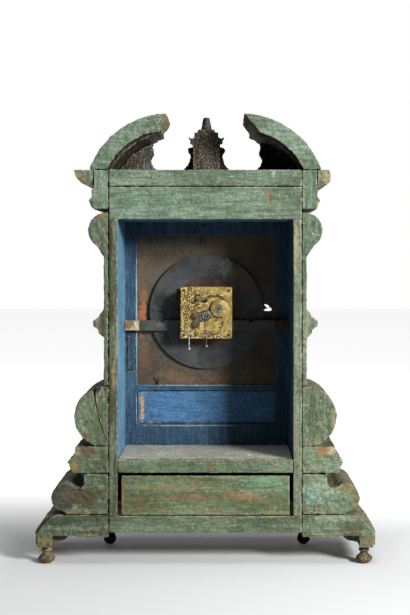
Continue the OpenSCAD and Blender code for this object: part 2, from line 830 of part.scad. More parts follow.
// Curved spring beside the click
module click_spring() {
    d = back_plate_back;
    c = [-6.4, -21.4];
    r = 33.7;
    color("dimgray") at_dial() {
        slab(d - 3, d - 0.6) polygon(concat(
            arc(c, r, 176, 270, 24), arc(c, r - 2.6, 270, 250, 6), arc(c, r - 1.2, 240, 176, 16)));
        rod(c + polar(r - 1.3, 265), 2.4, d - 3, d);
    }
}

// Fixed post that the carrier turns on
module carrier_post() {
    color("dimgray") at_dial() {
        rod([0, 0], post_r, bar_back, web_back + sheet_t + 1.2);
        rod([0, 0], post_r + 2.5, web_back + sheet_t + 0.5, web_back + sheet_t + 1.7);
        rod([0, 0], post_r + 3.5, bar_back, bar_back + 1.6);
    }
}

module drawer_front() {
    color("peru") board(-drawer_half, drawer_half, floor_z + 0.3, floor_z + drawer_h, front_d - 18, front_d);
}

// Drawer box: back, sides and bottom as separate boards
module drawer_box() {
    z0 = floor_z + 0.3;
    z1 = floor_z + drawer_h;
    d_back = 5;
    d_front = front_d - 18;
    color("olivedrab") {
        board(-drawer_half, drawer_half, z0, z1, d_back, d_back + 12);
        both() board(drawer_half - drawer_side_t, drawer_half, z0, z1 - 4, d_back + 12, d_front);
        board(-drawer_half + drawer_side_t, drawer_half - drawer_side_t, z0, z0 + drawer_base_t,
              d_back + 12, d_front);
    }
}

module drawer_knob() {
    color("black") translate([0, back_y - front_d, floor_z + drawer_h / 2]) rotate([90, 0, 0]) rotate_extrude()
        polygon(concat([[0, 0], [9, 0], [9, 2], [4.5, 4], [4.5, 9]], arc([5, 17], 8, -80, 90, 12), [[0, 25]]));
}

rim_points = [for (i = [0:5]) polar(ring_r - 4, 30 + i * 60)];

// Iron ring with the two hour windows
module carrier_ring() {
    color("slategray") at_dial() {
        slab(ring_back, web_back) difference() {
            circle(r = ring_r, $fn = 180);
            circle(r = ring_in, $fn = 180);
            for (a = [0, 180]) rotate(a) translate([slot_r, 0]) circle(r = window_r);
        }
        for (p = rim_points) rod(p, 2, web_back - eps, mask_back);
    }
}

// Thin disc and hub inside the ring, with the bearings of the hour discs
module carrier_disc() {
    hub_back = gear_back;
    color("sienna") at_dial() difference() {
        union() {
            rod([0, 0], ring_in + 5, web_back, web_back + sheet_t);
            rod([0, 0], post_r + 3.5, hub_back, web_back);
            for (x = [-1, 1]) rod([x * disc_at, 0], 4, web_back - 3, web_back + eps);
        }
        rod([0, 0], post_r + pivot_play, hub_back - 1, web_back + sheet_t + 1);
        for (x = [-1, 1]) rod([x * disc_at, 0], 1.5 + pivot_play, web_back - 4, web_back + sheet_t + 1);
    }
}

// Front mask ring that shows one numeral through each window
module carrier_mask() {
    color("darkslategray") at_dial() slab(mask_back, mask_back + sheet_t) difference() {
        circle(r = ring_r - 1, $fn = 180);
        circle(r = ring_in + 5, $fn = 180);
        for (a = [0, 180]) rotate(a) translate([slot_r, 0]) circle(r = window_r);
    }
}

module carrier_wheel() {
    rim_r = carrier_n * carrier_m / 2 - 1.15 * carrier_m - 2.5;
    color("gold") at_dial() slab(gear_back, gear_front) {
        difference() {
            wheel_outline(carrier_n, carrier_m, carrier_phase);
            circle(r = rim_r);
        }
        difference() {
            spokes(post_r + 6, rim_r + 0.5, 4, 3.6, 45);
            circle(r = post_r + 3.5);
        }
    }
}

numeral_i = [[0, 0, 0, 1]];
numeral_v = [[0, 1, 0.3, 0], [0.6, 1, 0.3, 0]];
numeral_x = [[0, 1, 0.6, 0], [0.6, 1, 0, 0]];

// Strokes of one numeral as lines from foot to head, side by side
function glyph(c) = c == "I" ? numeral_i : c == "V" ? numeral_v : numeral_x;
function advance(c) = c == "I" ? 0.3 : 0.85;
function width_to(chars, i) = i == 0 ? 0 : advance(chars[i - 1]) + width_to(chars, i - 1);

module numeral(chars) {
    total = width_to(chars, len(chars)) - (chars[len(chars) - 1] == "I" ? 0.3 : 0.25);
    for (i = [0:len(chars) - 1], s = glyph(chars[i])) {
        a = numeral_h * [s[0] + width_to(chars, i) - total / 2, s[1] - 0.5];
        b = numeral_h * [s[2] + width_to(chars, i) - total / 2, s[3] - 0.5];
        translate(a) rotate(heading(a, b)) translate([0, -stroke_w / 2]) square([norm(b - a), stroke_w]);
    }
}

// Hour disc with six pierced numerals, its star wheel and arbor
module hour_disc(names, turn) {
    slab(disc_back, disc_back + sheet_t) difference() {
        circle(r = disc_r, $fn = 120);
        for (i = [0:5]) rotate(i * 60) translate([numeral_r, 0]) rotate(-90) numeral(names[i]);
    }
    slab(disc_back + sheet_t - eps, disc_back + sheet_t + star_t) rotate(turn)
        polygon([for (i = [0:2 * star_points - 1]) polar(i % 2 == 0 ? 10 : 5.2, i * 180 / star_points)]);
    rod([0, 0], 1.5, web_back - 3.4, disc_back + eps);
    rod([0, 0], 3.2, web_back - 4.2, web_back - 3.4 + eps);
}

module odd_hour_disc() {
    color("lightgray") at_dial([disc_at, 0])
        hour_disc([["I"], ["X", "I"], ["I", "X"], ["V", "I", "I"], ["V"], ["I", "I", "I"]], 15);
}

module even_hour_disc() {
    color("lightgray") at_dial([-disc_at, 0])
        hour_disc([["V", "I", "I", "I"], ["V", "I"], ["I", "V"], ["I", "I"], ["X", "I", "I"], ["X"]], 45);
}

// Toothed spring barrel, open round the winding arbor
module barrel() {
    d = barrel_wheel_d;
    color("gold") at_dial(barrel_at) difference() {
        union() {
            slab(d - 2.4, d) wheel_outline(wheel_n, barrel_m, barrel_phase);
            rod([0, 0], barrel_r, d - 2.4 - barrel_drum_h, d - 2.4 + eps);
        }
        rod([0, 0], barrel_r - 1.4, d - 1.2 - barrel_drum_h, d - 2.4);
        rod([0, 0], 4 + pivot_play, d - 30, d + 1);
    }
}

// Winding arbor with its ratchet wheel and square
module winding_arbor() {
    d0 = back_plate_back;
    color("dimgray") at_dial(barrel_at) {
        rod([0, 0], 4, barrel_wheel_d - barrel_drum_h - 3.4, barrel_wheel_d + 0.6);
        rod([0, 0], 3, d0 - 3.4, bar_back);
        slab(d0 - 2.4, d0 - 0.4) polygon([for (i = [0:ratchet_n - 1], q = [0, 1])
            polar(q == 0 ? ratchet_r : ratchet_r - 1.8, click_dir - 3 + (i + q * 0.2) * 360 / ratchet_n)]);
        translate([-2.5, back_y - d0 + 3, -2.5]) cube([5, 11, 5]);
    }
}

// Click that holds the ratchet wheel
module click() {
    d = back_plate_back;
    tip = barrel_at + polar(ratchet_r - 1.1, click_dir + 1);
    reach = norm(tip - click_at);
    color("dimgray") at_dial(click_at) {
        slab(d - 2.4, d - 0.4) rotate(heading(click_at, tip)) polygon([
            [-3.5, -2], [2, -2.8], [reach - 5, -1.1], [reach - 2.8, -0.35], [reach, -0.2],
            [reach, 0.2], [reach - 4, 1.3], [2, 2.8], [-3.5, 2]]);
        rod([0, 0], 2.2, d - 3.2, d);
    }
}

// Centre arbor: pinion under the barrel, wheel, and the pinion that turns the carrier
module centre_wheel() {
    d = centre_wheel_d;
    color("gold") at_dial(centre_at) {
        crossed_wheel(wheel_n, centre_m, centre_phase, d, wheel_t, 5);
        rod([0, 0], arbor_r, back_plate_front + 0.5, gear_front + 0.5);
        rod([0, 0], pivot_r, back_plate_front - 2.2, back_plate_front + 0.6);
        slab(barrel_wheel_d - 4, barrel_wheel_d + 1) pinion_outline(barrel_m, centre_phase);
        slab(bar_back + 0.6, gear_front + 0.6) pinion_outline(carrier_m, centre_phase);
    }
}

// Third arbor with its pinion and wheel
module third_wheel() {
    color("gold") at_dial(third_at) {
        crossed_wheel(wheel_n, third_m, third_phase, third_wheel_d, thin_t, 4);
        arbor(back_plate_front + 0.5, front_plate_back - 0.5);
        slab(centre_wheel_d - 3, centre_wheel_d + 2) pinion_outline(centre_m, third_phase);
    }
}

// Escape wheel with its pinion
module escape_wheel() {
    d = escape_wheel_d;
    color("gold") at_dial(escape_at) {
        slab(d - thin_t, d) {
            difference() {
                polygon([for (i = [0:escape_n - 1], q = [
                        [escape_r - 2.6, -3.4], [escape_r, -0.6], [escape_r, 0.6], [escape_r - 2.6, 1.6]])
                    polar(q[0], escape_phase + 360 * i / escape_n + q[1])]);
                circle(r = escape_r - 4.2);
            }
            spokes(3.2, escape_r - 3.8, 4, 2, 10);
        }
        arbor(back_plate_front + 0.5, front_plate_back - 0.5);
        slab(third_wheel_d - 2.6, third_wheel_d + 1.6) pinion_outline(third_m, escape_pinion_phase);
    }
}

// Pendulum: arbor, anchor with two pallets, rod and ball
module pendulum() {
    d = escape_wheel_d + 0.3;
    rod_d = back_plate_back - 4;
    far = sqrt(escape_far * escape_far - escape_r * escape_r);
    color("dimgray") at_dial(pendulum_at) {
        rod([0, 0], arbor_r, back_plate_back - 6.4, front_plate_back - 0.5);
        rod([0, 0], pivot_r, cock_d + 0.3, front_plate_back + 2.2);
        slab(d - 1.6, d) {
            circle(r = 3.4);
            for (s = [-1, 1]) {
                a = pallet_dir + 180 + s * (90 - pallet_swing);
                rotate(a) polygon([[0, -s * 1.4], [0, s * 1.4], [far - 1, s * 4], [far + 0.3, s * 4],
                                   [far + 0.3, s * 0.2], [far - 0.3, s * 0.2], [far - 1.4, s * 2]]);
            }
        }
        translate([0, back_y - rod_d, -pendulum_l]) cylinder(h = pendulum_l, r = 0.7, $fn = 24);
        translate([0, back_y - rod_d, -pendulum_l]) sphere(r = bob_r);
        rod([0, 0], 3, rod_d - 1.5, rod_d + 1.5);
    }
}

// Stop lever with its weight, which can be swung against the pendulum rod
module stop_lever() {
    d = back_plate_back;
    color("silver") at_dial(lever_at) {
        slab(d - 3, d - 1) polygon([[-4, -3], [4, -3], [4, 3], [-3, 4], [-12, -4], [-11, -6]]);
        rod([0, 0], 2.6, d - 4, d);
        translate([0, back_y - d + 2, -35]) cylinder(h = 34, r = 1.2, $fn = 24);
        translate([0, back_y - d + 2, -35]) sphere(r = 4.2);
    }
}

left_wall();
right_wall();
frieze_rail();
cornice_rail();
base_rail();
shelf_rail();
shelf_board();
ceiling_board();
roof_board();
bottom_board();
front_board();
lower_panel();
front_mouldings();
front_columns();
cornice_moulding();
entablature_blocks();
upper_scrolls();
lower_scrolls();
plinth_caps();
plinth_blocks();
foot_boards();
pediment_arches();
tympanum_panels();
pedestal();
finial_stub();
turned_feet();
ball_feet();
drawer_guides();
dial_plate();
dial_nails();
hook_staple();
iron_bar();
bar_blocks();
front_plate();
back_plate();
plate_pillars();
movement_fasteners();
pendulum_cock();
barrel_cap();
regulator_work();
click_spring();
carrier_post();
drawer_front();
drawer_box();
drawer_knob();
carrier_ring();
carrier_disc();
carrier_mask();
carrier_wheel();
odd_hour_disc();
even_hour_disc();
barrel();
winding_arbor();
click();
centre_wheel();
third_wheel();
escape_wheel();
pendulum();
stop_lever();
hook();
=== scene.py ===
"""Dress the wandering hour clock: old painted case, iron and copper hour work, brass movement."""
import json
import logging
import math
from dataclasses import dataclass, field
from enum import Enum
from typing import Optional, Sequence

import bpy
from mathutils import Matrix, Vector

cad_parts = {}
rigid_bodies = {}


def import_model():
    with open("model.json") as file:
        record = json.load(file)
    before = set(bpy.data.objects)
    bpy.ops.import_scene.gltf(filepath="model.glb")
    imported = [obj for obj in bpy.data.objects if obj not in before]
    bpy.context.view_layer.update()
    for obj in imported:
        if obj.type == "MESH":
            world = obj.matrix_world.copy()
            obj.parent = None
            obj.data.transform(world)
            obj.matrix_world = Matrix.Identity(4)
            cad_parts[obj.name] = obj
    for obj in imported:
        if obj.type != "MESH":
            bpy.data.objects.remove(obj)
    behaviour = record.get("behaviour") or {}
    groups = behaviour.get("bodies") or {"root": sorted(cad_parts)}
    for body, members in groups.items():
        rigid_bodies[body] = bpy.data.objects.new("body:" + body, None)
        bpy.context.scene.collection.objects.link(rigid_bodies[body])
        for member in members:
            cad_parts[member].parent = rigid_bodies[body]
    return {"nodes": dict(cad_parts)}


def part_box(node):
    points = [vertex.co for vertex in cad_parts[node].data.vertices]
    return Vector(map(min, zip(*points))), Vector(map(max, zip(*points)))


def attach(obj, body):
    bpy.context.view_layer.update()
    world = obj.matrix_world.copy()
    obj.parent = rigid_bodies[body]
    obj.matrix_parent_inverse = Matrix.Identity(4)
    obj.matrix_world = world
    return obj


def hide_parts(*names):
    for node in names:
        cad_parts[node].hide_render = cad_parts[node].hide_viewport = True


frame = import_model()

log = logging.getLogger("clock")

Point = tuple[float, float, float]
Place = tuple[float, float]
Colour = tuple[int, int, int]
Linear = tuple[float, float, float, float]

# The photo's frame: camera distance in metres, and the pixels of the eye, middle and floor lines
CAMERA_FAR = 2.5
PIXEL = 0.00225
SENSOR = 36.0
FRAME_W = 410
FRAME_H = 615
EYE_PX = (225.0, 260.0)
MIDDLE_PX = 205.3
FLOOR_PX = 565.0
BACK_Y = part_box("base_rail")[1].y
MM = 0.001

# How far a cutter stands out past the back plane, and the depths of what the open back shows
OVERSHOOT = 0.004
BOARD_DEPTH = 0.2
PANEL_DEPTH = 0.206
DIAL_DEPTH = 0.205
DRAWER_DEPTH = 0.005
BLOCK_DEPTH = 0.178

# How strongly broad and fine noise tear a patch's outline
BROAD_TEAR = 3.0
FINE_TEAR = 2.6


def seen(x: float, y: float, depth: float = 0.0) -> Place:
    """Find what a photo pixel falls on.

    Args:
        x: Pixel column.
        y: Pixel row.
        depth: Distance behind the back plane of the case, in metres.

    Returns:
        X and Z of the point, in metres.
    """
    shrink = CAMERA_FAR / (CAMERA_FAR + depth)
    column = EYE_PX[0] + (x - EYE_PX[0]) / shrink
    row = EYE_PX[1] + (y - EYE_PX[1]) / shrink
    return (MIDDLE_PX - column) * PIXEL, (FLOOR_PX - row) * PIXEL


def tint(red: int, green: int, blue: int) -> Linear:
    """Turn an eight-bit display colour into Blender's linear colour.

    Args:
        red: Red, 0 to 255.
        green: Green, 0 to 255.
        blue: Blue, 0 to 255.

    Returns:
        The linear colour with full alpha.
    """
    parts = []
    for value in (red, green, blue):
        level = value / 255
        parts.append(level / 12.92 if level <= 0.04045 else ((level + 0.055) / 1.055) ** 2.4)
    return parts[0], parts[1], parts[2], 1.0


class Grain(Enum):
    """Which way the wood's grain runs."""

    ALONG_X = (3.0, 30.0, 30.0)
    ALONG_Y = (30.0, 3.0, 30.0)
    ALONG_Z = (30.0, 30.0, 3.0)


class Graph:
    """A material's node tree, with short calls for the nodes that the finishes share."""

    def __init__(self, name: str) -> None:
        """Start a material with one Principled shader."""
        self.material = bpy.data.materials.new(name)
        self.material.use_nodes = True
        self.tree = self.material.node_tree
        self.tree.nodes.clear()
        self.output = self.add("ShaderNodeOutputMaterial")
        self.shader = self.add("ShaderNodeBsdfPrincipled")
        self.join(self.shader.outputs["BSDF"], self.output.inputs["Surface"])
        self.place = self.add("ShaderNodeTexCoord").outputs["Object"]

    def add(self, kind: str, **settings: object) -> bpy.types.Node:
        """Add a node and set its properties."""
        node = self.tree.nodes.new(kind)
        for key, value in settings.items():
            setattr(node, key, value)
        return node

    def join(self, source: object, target: bpy.types.NodeSocket) -> None:
        """Link a socket to an input, or write a plain value into it."""
        if isinstance(source, bpy.types.NodeSocket):
            self.tree.links.new(source, target)
        else:
            target.default_value = source

    def math(self, operation: str, first: object, second: object = 0.0,
             clamp: bool = False) -> bpy.types.NodeSocket:
        """Combine two numbers."""
        node = self.add("ShaderNodeMath", operation=operation, use_clamp=clamp)
        self.join(first, node.inputs[0])
        self.join(second, node.inputs[1])
        return node.outputs[0]

    def vector(self, operation: str, first: object, second: object) -> bpy.types.Node:
        """Combine two vectors."""
        node = self.add("ShaderNodeVectorMath", operation=operation)
        self.join(first, node.inputs[0])
        self.join(second, node.inputs[1])
        return node

    def noise(self, where: object, scale: float, detail: float = 4.0, rough: float = 0.55,
              twist: float = 0.0) -> bpy.types.NodeSocket:
        """Read fractal noise, from 0 to 1."""
        node = self.add("ShaderNodeTexNoise")
        self.join(where, node.inputs["Vector"])
        node.inputs["Scale"].default_value = scale
        node.inputs["Detail"].default_value = detail
        node.inputs["Roughness"].default_value = rough
        node.inputs["Distortion"].default_value = twist
        return node.outputs[0]

    def smooth(self, value: object, low: float, high: float, start: float = 0.0,
               end: float = 1.0) -> bpy.types.NodeSocket:
        """Map a value smoothly from one range to another."""
        node = self.add("ShaderNodeMapRange", interpolation_type="SMOOTHSTEP")
        self.join(value, node.inputs["Value"])
        for key, number in (
                ("From Min", low), ("From Max", high), ("To Min", start), ("To Max", end)):
            node.inputs[key].default_value = number
        return node.outputs[0]

    def blend(self, amount: object, first: object, second: object,
              how: str = "MIX") -> bpy.types.NodeSocket:
        """Mix two colours, each a socket, a display colour or a linear colour."""
        node = self.add("ShaderNodeMix", data_type="RGBA", blend_type=how)
        self.join(amount, node.inputs[0])
        for colour, target in ((first, node.inputs[6]), (second, node.inputs[7])):
            shown = isinstance(colour, tuple) and len(colour) == 3
            self.join(tint(*colour) if shown else colour, target)
        return node.outputs[2]

    def times(self, first: object, second: object) -> bpy.types.NodeSocket:
        """Multiply two numbers."""
        return self.math("MULTIPLY", first, second)

    def gap(self, value: object, middle: float) -> bpy.types.NodeSocket:
        """Find how far a value is from a middle."""
        return self.math("ABSOLUTE", self.math("SUBTRACT", value, middle))

    def lay(self, base: object, mask: object, share: float, top: object) -> bpy.types.NodeSocket:
        """Lay one colour over another inside a mask, up to a share."""
        return self.blend(self.times(mask, share), base, top)

    def axis(self, name: str, source: object = None) -> bpy.types.NodeSocket:
        """Read one axis of a vector, or else of the place on the object."""
        parts = self.add("ShaderNodeSeparateXYZ")
        self.join(self.place if source is None else source, parts.inputs[0])
        return parts.outputs[name]

    def edges(self, radius: float) -> bpy.types.NodeSocket:
        """Find sharp edges, from 0 on flats to 1 on corners."""
        bevel = self.add("ShaderNodeBevel", samples=4)
        bevel.inputs["Radius"].default_value = radius
        flat = self.add("ShaderNodeNewGeometry").outputs["Normal"]
        same = self.vector("DOT_PRODUCT", bevel.outputs[0], flat).outputs["Value"]
        return self.math("SUBTRACT", 1.0, same, clamp=True)

    def holes(self, scale: float, size: float, share: float,
              crowded: bool = True) -> bpy.types.NodeSocket:
        """Find scattered round marks, 1 inside a mark, in crowds or everywhere."""
        node = self.add("ShaderNodeTexVoronoi")
        self.join(self.place, node.inputs["Vector"])
        node.inputs["Scale"].default_value = scale
        near = self.smooth(node.outputs["Distance"], size * 0.7, size, 1.0, 0.0)
        parts = self.add("ShaderNodeSeparateColor")
        self.join(node.outputs["Color"], parts.inputs[0])
        chosen = self.math("GREATER_THAN", parts.outputs[0], 1.0 - share)
        if not crowded:
            return self.times(near, chosen)
        crowd = self.smooth(self.noise(self.place, 14.0, 2.0), 0.4, 0.53)
        return self.times(self.times(near, chosen), crowd)

    def spot(self, spot: "ColourPatch", along: object) -> bpy.types.NodeSocket:
        """Find a ragged oval round a place in X and Z, 1 inside it, on the face it is on."""
        centre, radii, ragged = spot.centre, spot.radii, spot.ragged
        shifted = self.vector("SUBTRACT", self.place, (centre[0], 0.0, centre[1])).outputs[0]
        scaled = self.vector("MULTIPLY", shifted, (1 / radii[0], 0.0, 1 / radii[1])).outputs[0]
        reach = self.add("ShaderNodeVectorMath", operation="LENGTH")
        self.join(scaled, reach.inputs[0])
        broad_noise = self.noise(along, 3.0, 6.0, 0.75)
        fine_noise = self.noise(self.place, 120.0, 6.0, 0.75)
        broad = self.times(self.math("SUBTRACT", broad_noise, 0.5), ragged * BROAD_TEAR)
        fine = self.times(self.math("SUBTRACT", fine_noise, 0.5), ragged * FINE_TEAR)
        torn = self.math("ADD", reach.outputs["Value"], self.math("ADD", broad, fine))
        inside = self.smooth(torn, 0.74, 1.1, 1.0, 0.0)
        facing = self.smooth(self.axis("Y"), spot.plane - 0.007, spot.plane - 0.003)
        return self.times(inside, facing)

    def arris(self) -> tuple[bpy.types.NodeSocket, bpy.types.NodeSocket]:
        """Find raised edges and hollows of a dense mesh, each from 0 to 1."""
        bend = self.add("ShaderNodeNewGeometry").outputs["Pointiness"]
        return self.smooth(bend, 0.515, 0.565), self.smooth(bend, 0.43, 0.485, 1.0, 0.0)

    def back_face(self) -> bpy.types.NodeSocket:
        """Find surfaces that face the open back, 1 there and 0 where they run away from it."""
        normal = self.add("ShaderNodeNewGeometry").outputs["True Normal"]
        return self.smooth(self.axis("Y", normal), 0.35, 0.75)

    def relief(self, height: object, reach: float, strength: float = 1.0) -> None:
        """Give the shader a bump from a height in units of reach metres."""
        bump = self.add("ShaderNodeBump")
        bump.inputs["Strength"].default_value = strength
        bump.inputs["Distance"].default_value = reach
        self.join(height, bump.inputs["Height"])
        self.join(bump.outputs[0], self.shader.inputs["Normal"])


@dataclass(frozen=True)
class ColourPatch:
    """A ragged patch of colour on paint or metal, placed where the photo shows it: worn-through wood,
    stains, and in a few places painted shade or painted light.
    """

    centre: Place
    radii: Place
    colour: Colour
    ragged: float = 0.9
    plane: float = 0.0


def patch(x: float, y: float, wide: float, high: float, colour: Colour, ragged: float = 0.9,
          depth: float = 0.0, deep: bool = False) -> ColourPatch:
    """Place a patch by photo pixels.

    Args:
        x: Pixel column of its middle.
        y: Pixel row of its middle.
        wide: Half its width in pixels.
        high: Half its height in pixels.
        colour: Its colour.
        ragged: How torn its outline is.
        depth: Depth behind the back plane, in metres.
        deep: True if it also covers the surfaces that run away from the back.

    Returns:
        The patch.
    """
    plane = BACK_Y - (1.0 if deep else depth)
    return ColourPatch(seen(x, y, depth), (wide * PIXEL, high * PIXEL), colour, ragged, plane)


PALE = (186, 178, 150)
BROWN = (84, 66, 50)
UMBER = (48, 38, 32)
SOOT = (22, 18, 16)
SILVER_GREY = (128, 124, 116)


@dataclass(frozen=True)
class PaintedWood:
    """Old paint on wood: clouded, streaked along the grain, worn at the edges, with wormholes."""

    name: str
    paint: Colour
    dark: Colour
    light: Colour
    under: Colour = BROWN
    scrape: Colour = PALE
    grain: Grain = Grain.ALONG_X
    wear: float = 0.5
    streaks: float = 0.5
    worms: float = 0.2
    edge: float = 0.0022
    sides: Optional[Colour] = None
    stains: float = 0.0
    mottled: float = 0.6
    punched: float = 0.0
    patches: tuple[ColourPatch, ...] = ()

    def make(self) -> bpy.types.Material:
        """Build the material."""
        g = Graph(self.name)
        along = g.vector("MULTIPLY", g.place, self.grain.value).outputs[0]
        cloud = g.noise(g.place, 6.0, 5.0, 0.6)
        speck = g.noise(g.place, 330.0, 3.0, 0.65)
        pit = g.noise(g.place, 165.0, 5.0, 0.72)
        streak = g.noise(along, 1.3, 7.0, 0.66, 0.5)
        fibre = g.noise(along, 9.0, 6.0, 0.7)
        colour = g.blend(g.smooth(cloud, 0.3, 0.66), self.dark, self.paint)
        mottle = g.noise(g.place, 30.0, 9.0, 0.74)
        colour = g.lay(colour, g.smooth(mottle, 0.48, 0.62), self.mottled, self.dark)
        lifted = g.times(g.smooth(streak, 0.46, 0.66), self.streaks)
        colour = g.blend(lifted, colour, self.light)
        dirty = g.smooth(g.noise(along, 2.6, 9.0, 0.78, 0.6), 0.54, 0.66)
        colour = g.lay(colour, dirty, self.mottled * 0.75, g.blend(0.35, self.dark, UMBER))
        bleached = g.smooth(g.noise(g.place, 52.0, 8.0, 0.76), 0.57, 0.64)
        colour = g.lay(colour, bleached, self.mottled * 0.6, g.blend(0.45, self.light, self.scrape))
        colour = g.blend(
            1.0, colour, self.grey(g, g.smooth(fibre, 0.36, 0.64, 0.7, 1.24)), "MULTIPLY")
        colour = g.blend(
            1.0, colour, self.grey(g, g.smooth(speck, 0.38, 0.62, 0.68, 1.22)), "MULTIPLY")
        if self.stains > 0:
            ring = g.noise(
                g.vector("MULTIPLY", g.place, (6.0, 6.0, 22.0)).outputs[0], 1.0, 3.0, 0.55, 0.8)
            line = g.smooth(g.gap(ring, 0.5), 0.0, 0.03, self.stains, 0.0)
            colour = g.blend(line, colour, self.under)
        ragged = g.math(
            "ADD", g.times(streak, 0.5), g.times(g.noise(g.place, 60.0, 9.0, 0.78), 0.5))
        rubbed = g.smooth(ragged, 0.645 - 0.11 * self.wear, 0.68 - 0.11 * self.wear)
        colour = g.lay(colour, rubbed, 0.6, self.under)
        flaked = g.smooth(g.math("ADD", g.times(pit, 0.7), g.times(fibre, 0.3)),
                          0.66 - 0.09 * self.wear, 0.69 - 0.09 * self.wear)
        colour = g.lay(colour, flaked, 0.6, self.under)
        scratch = g.smooth(g.noise(along, 6.0, 5.0, 0.8, 1.4), 0.64, 0.69)
        colour = g.lay(colour, scratch, 0.45, self.scrape)
        grain_of_dust = g.smooth(g.noise(g.place, 240.0, 2.0, 0.5), 0.68, 0.73)
        colour = g.lay(colour, grain_of_dust, 0.5, self.scrape)
        lost = g.math("MAXIMUM", flaked, rubbed)
        # Surfaces turned away from the open back take the sides colour: grime and unpainted wood, and
        # painted shade.
        if self.sides is not None:
            turned_away = g.math("SUBTRACT", 1.0, g.back_face())
            side_dirt_and_shade = g.blend(
                g.smooth(fibre, 0.36, 0.64), self.sides, g.blend(0.5, self.sides, self.scrape))
            colour = g.lay(colour, turned_away, 0.82, side_dirt_and_shade)
        raised, hollow_shade = g.arris()
        corner = g.math("MAXIMUM", g.smooth(g.edges(self.edge), 0.02, 0.16), raised)
        broken = g.smooth(g.noise(g.place, 70.0, 7.0, 0.75), 0.42, 0.53)
        # Hollows of the surface are darkened with umber as painted shade.
        colour = g.lay(colour, hollow_shade, 0.7, UMBER)
        edge_worn = g.times(corner, broken)
        edge_colour = g.blend(
            g.smooth(g.noise(g.place, 40.0, 3.0), 0.4, 0.54), self.under, self.scrape)
        colour = g.lay(colour, edge_worn, 0.85, edge_colour)
        lost = g.math("MAXIMUM", edge_worn, lost)
        # Patches: most are worn-through wood or stains; a few paint shade or light.
        for spot in self.patches:
            mask = g.spot(spot, along)
            wood = g.blend(
                g.smooth(fibre, 0.42, 0.66), spot.colour, g.blend(0.45, spot.colour, SOOT))
            colour = g.lay(colour, mask, 0.85, wood)
            lost = g.math("MAXIMUM", lost, mask)
        grime = g.times(g.smooth(pit, 0.56, 0.66), 0.3)
        colour = g.blend(grime, colour, UMBER)
        height = g.math("ADD", g.times(fibre, 0.5), g.times(speck, 0.3))
        height = g.math("SUBTRACT", height, g.times(lost, 0.7))
        if self.punched > 0:
            dots = g.holes(190.0, 0.34, self.punched, crowded=False)
            colour = g.lay(colour, dots, 0.85, self.scrape)
            height = g.math("ADD", height, dots)
        if self.worms > 0:
            hole = g.math(
                "MAXIMUM", g.holes(115.0, 0.17, self.worms), g.holes(70.0, 0.13, self.worms * 0.6))
            colour = g.blend(hole, colour, SOOT)
            height = g.math("SUBTRACT", height, g.times(hole, 2.0))
        g.join(colour, g.shader.inputs["Base Color"])
        g.join(g.smooth(lost, 0.0, 1.0, 0.66, 0.9), g.shader.inputs["Roughness"])
        g.shader.inputs["Specular IOR Level"].default_value = 0.25
        g.relief(height, 0.0006, 0.8)
        return g.material

    @staticmethod
    def grey(g: Graph, level: object) -> bpy.types.NodeSocket:
        """Turn one number into a grey colour."""
        node = g.add("ShaderNodeCombineColor")
        for index in range(3):
            g.join(level, node.inputs[index])
        return node.outputs[0]


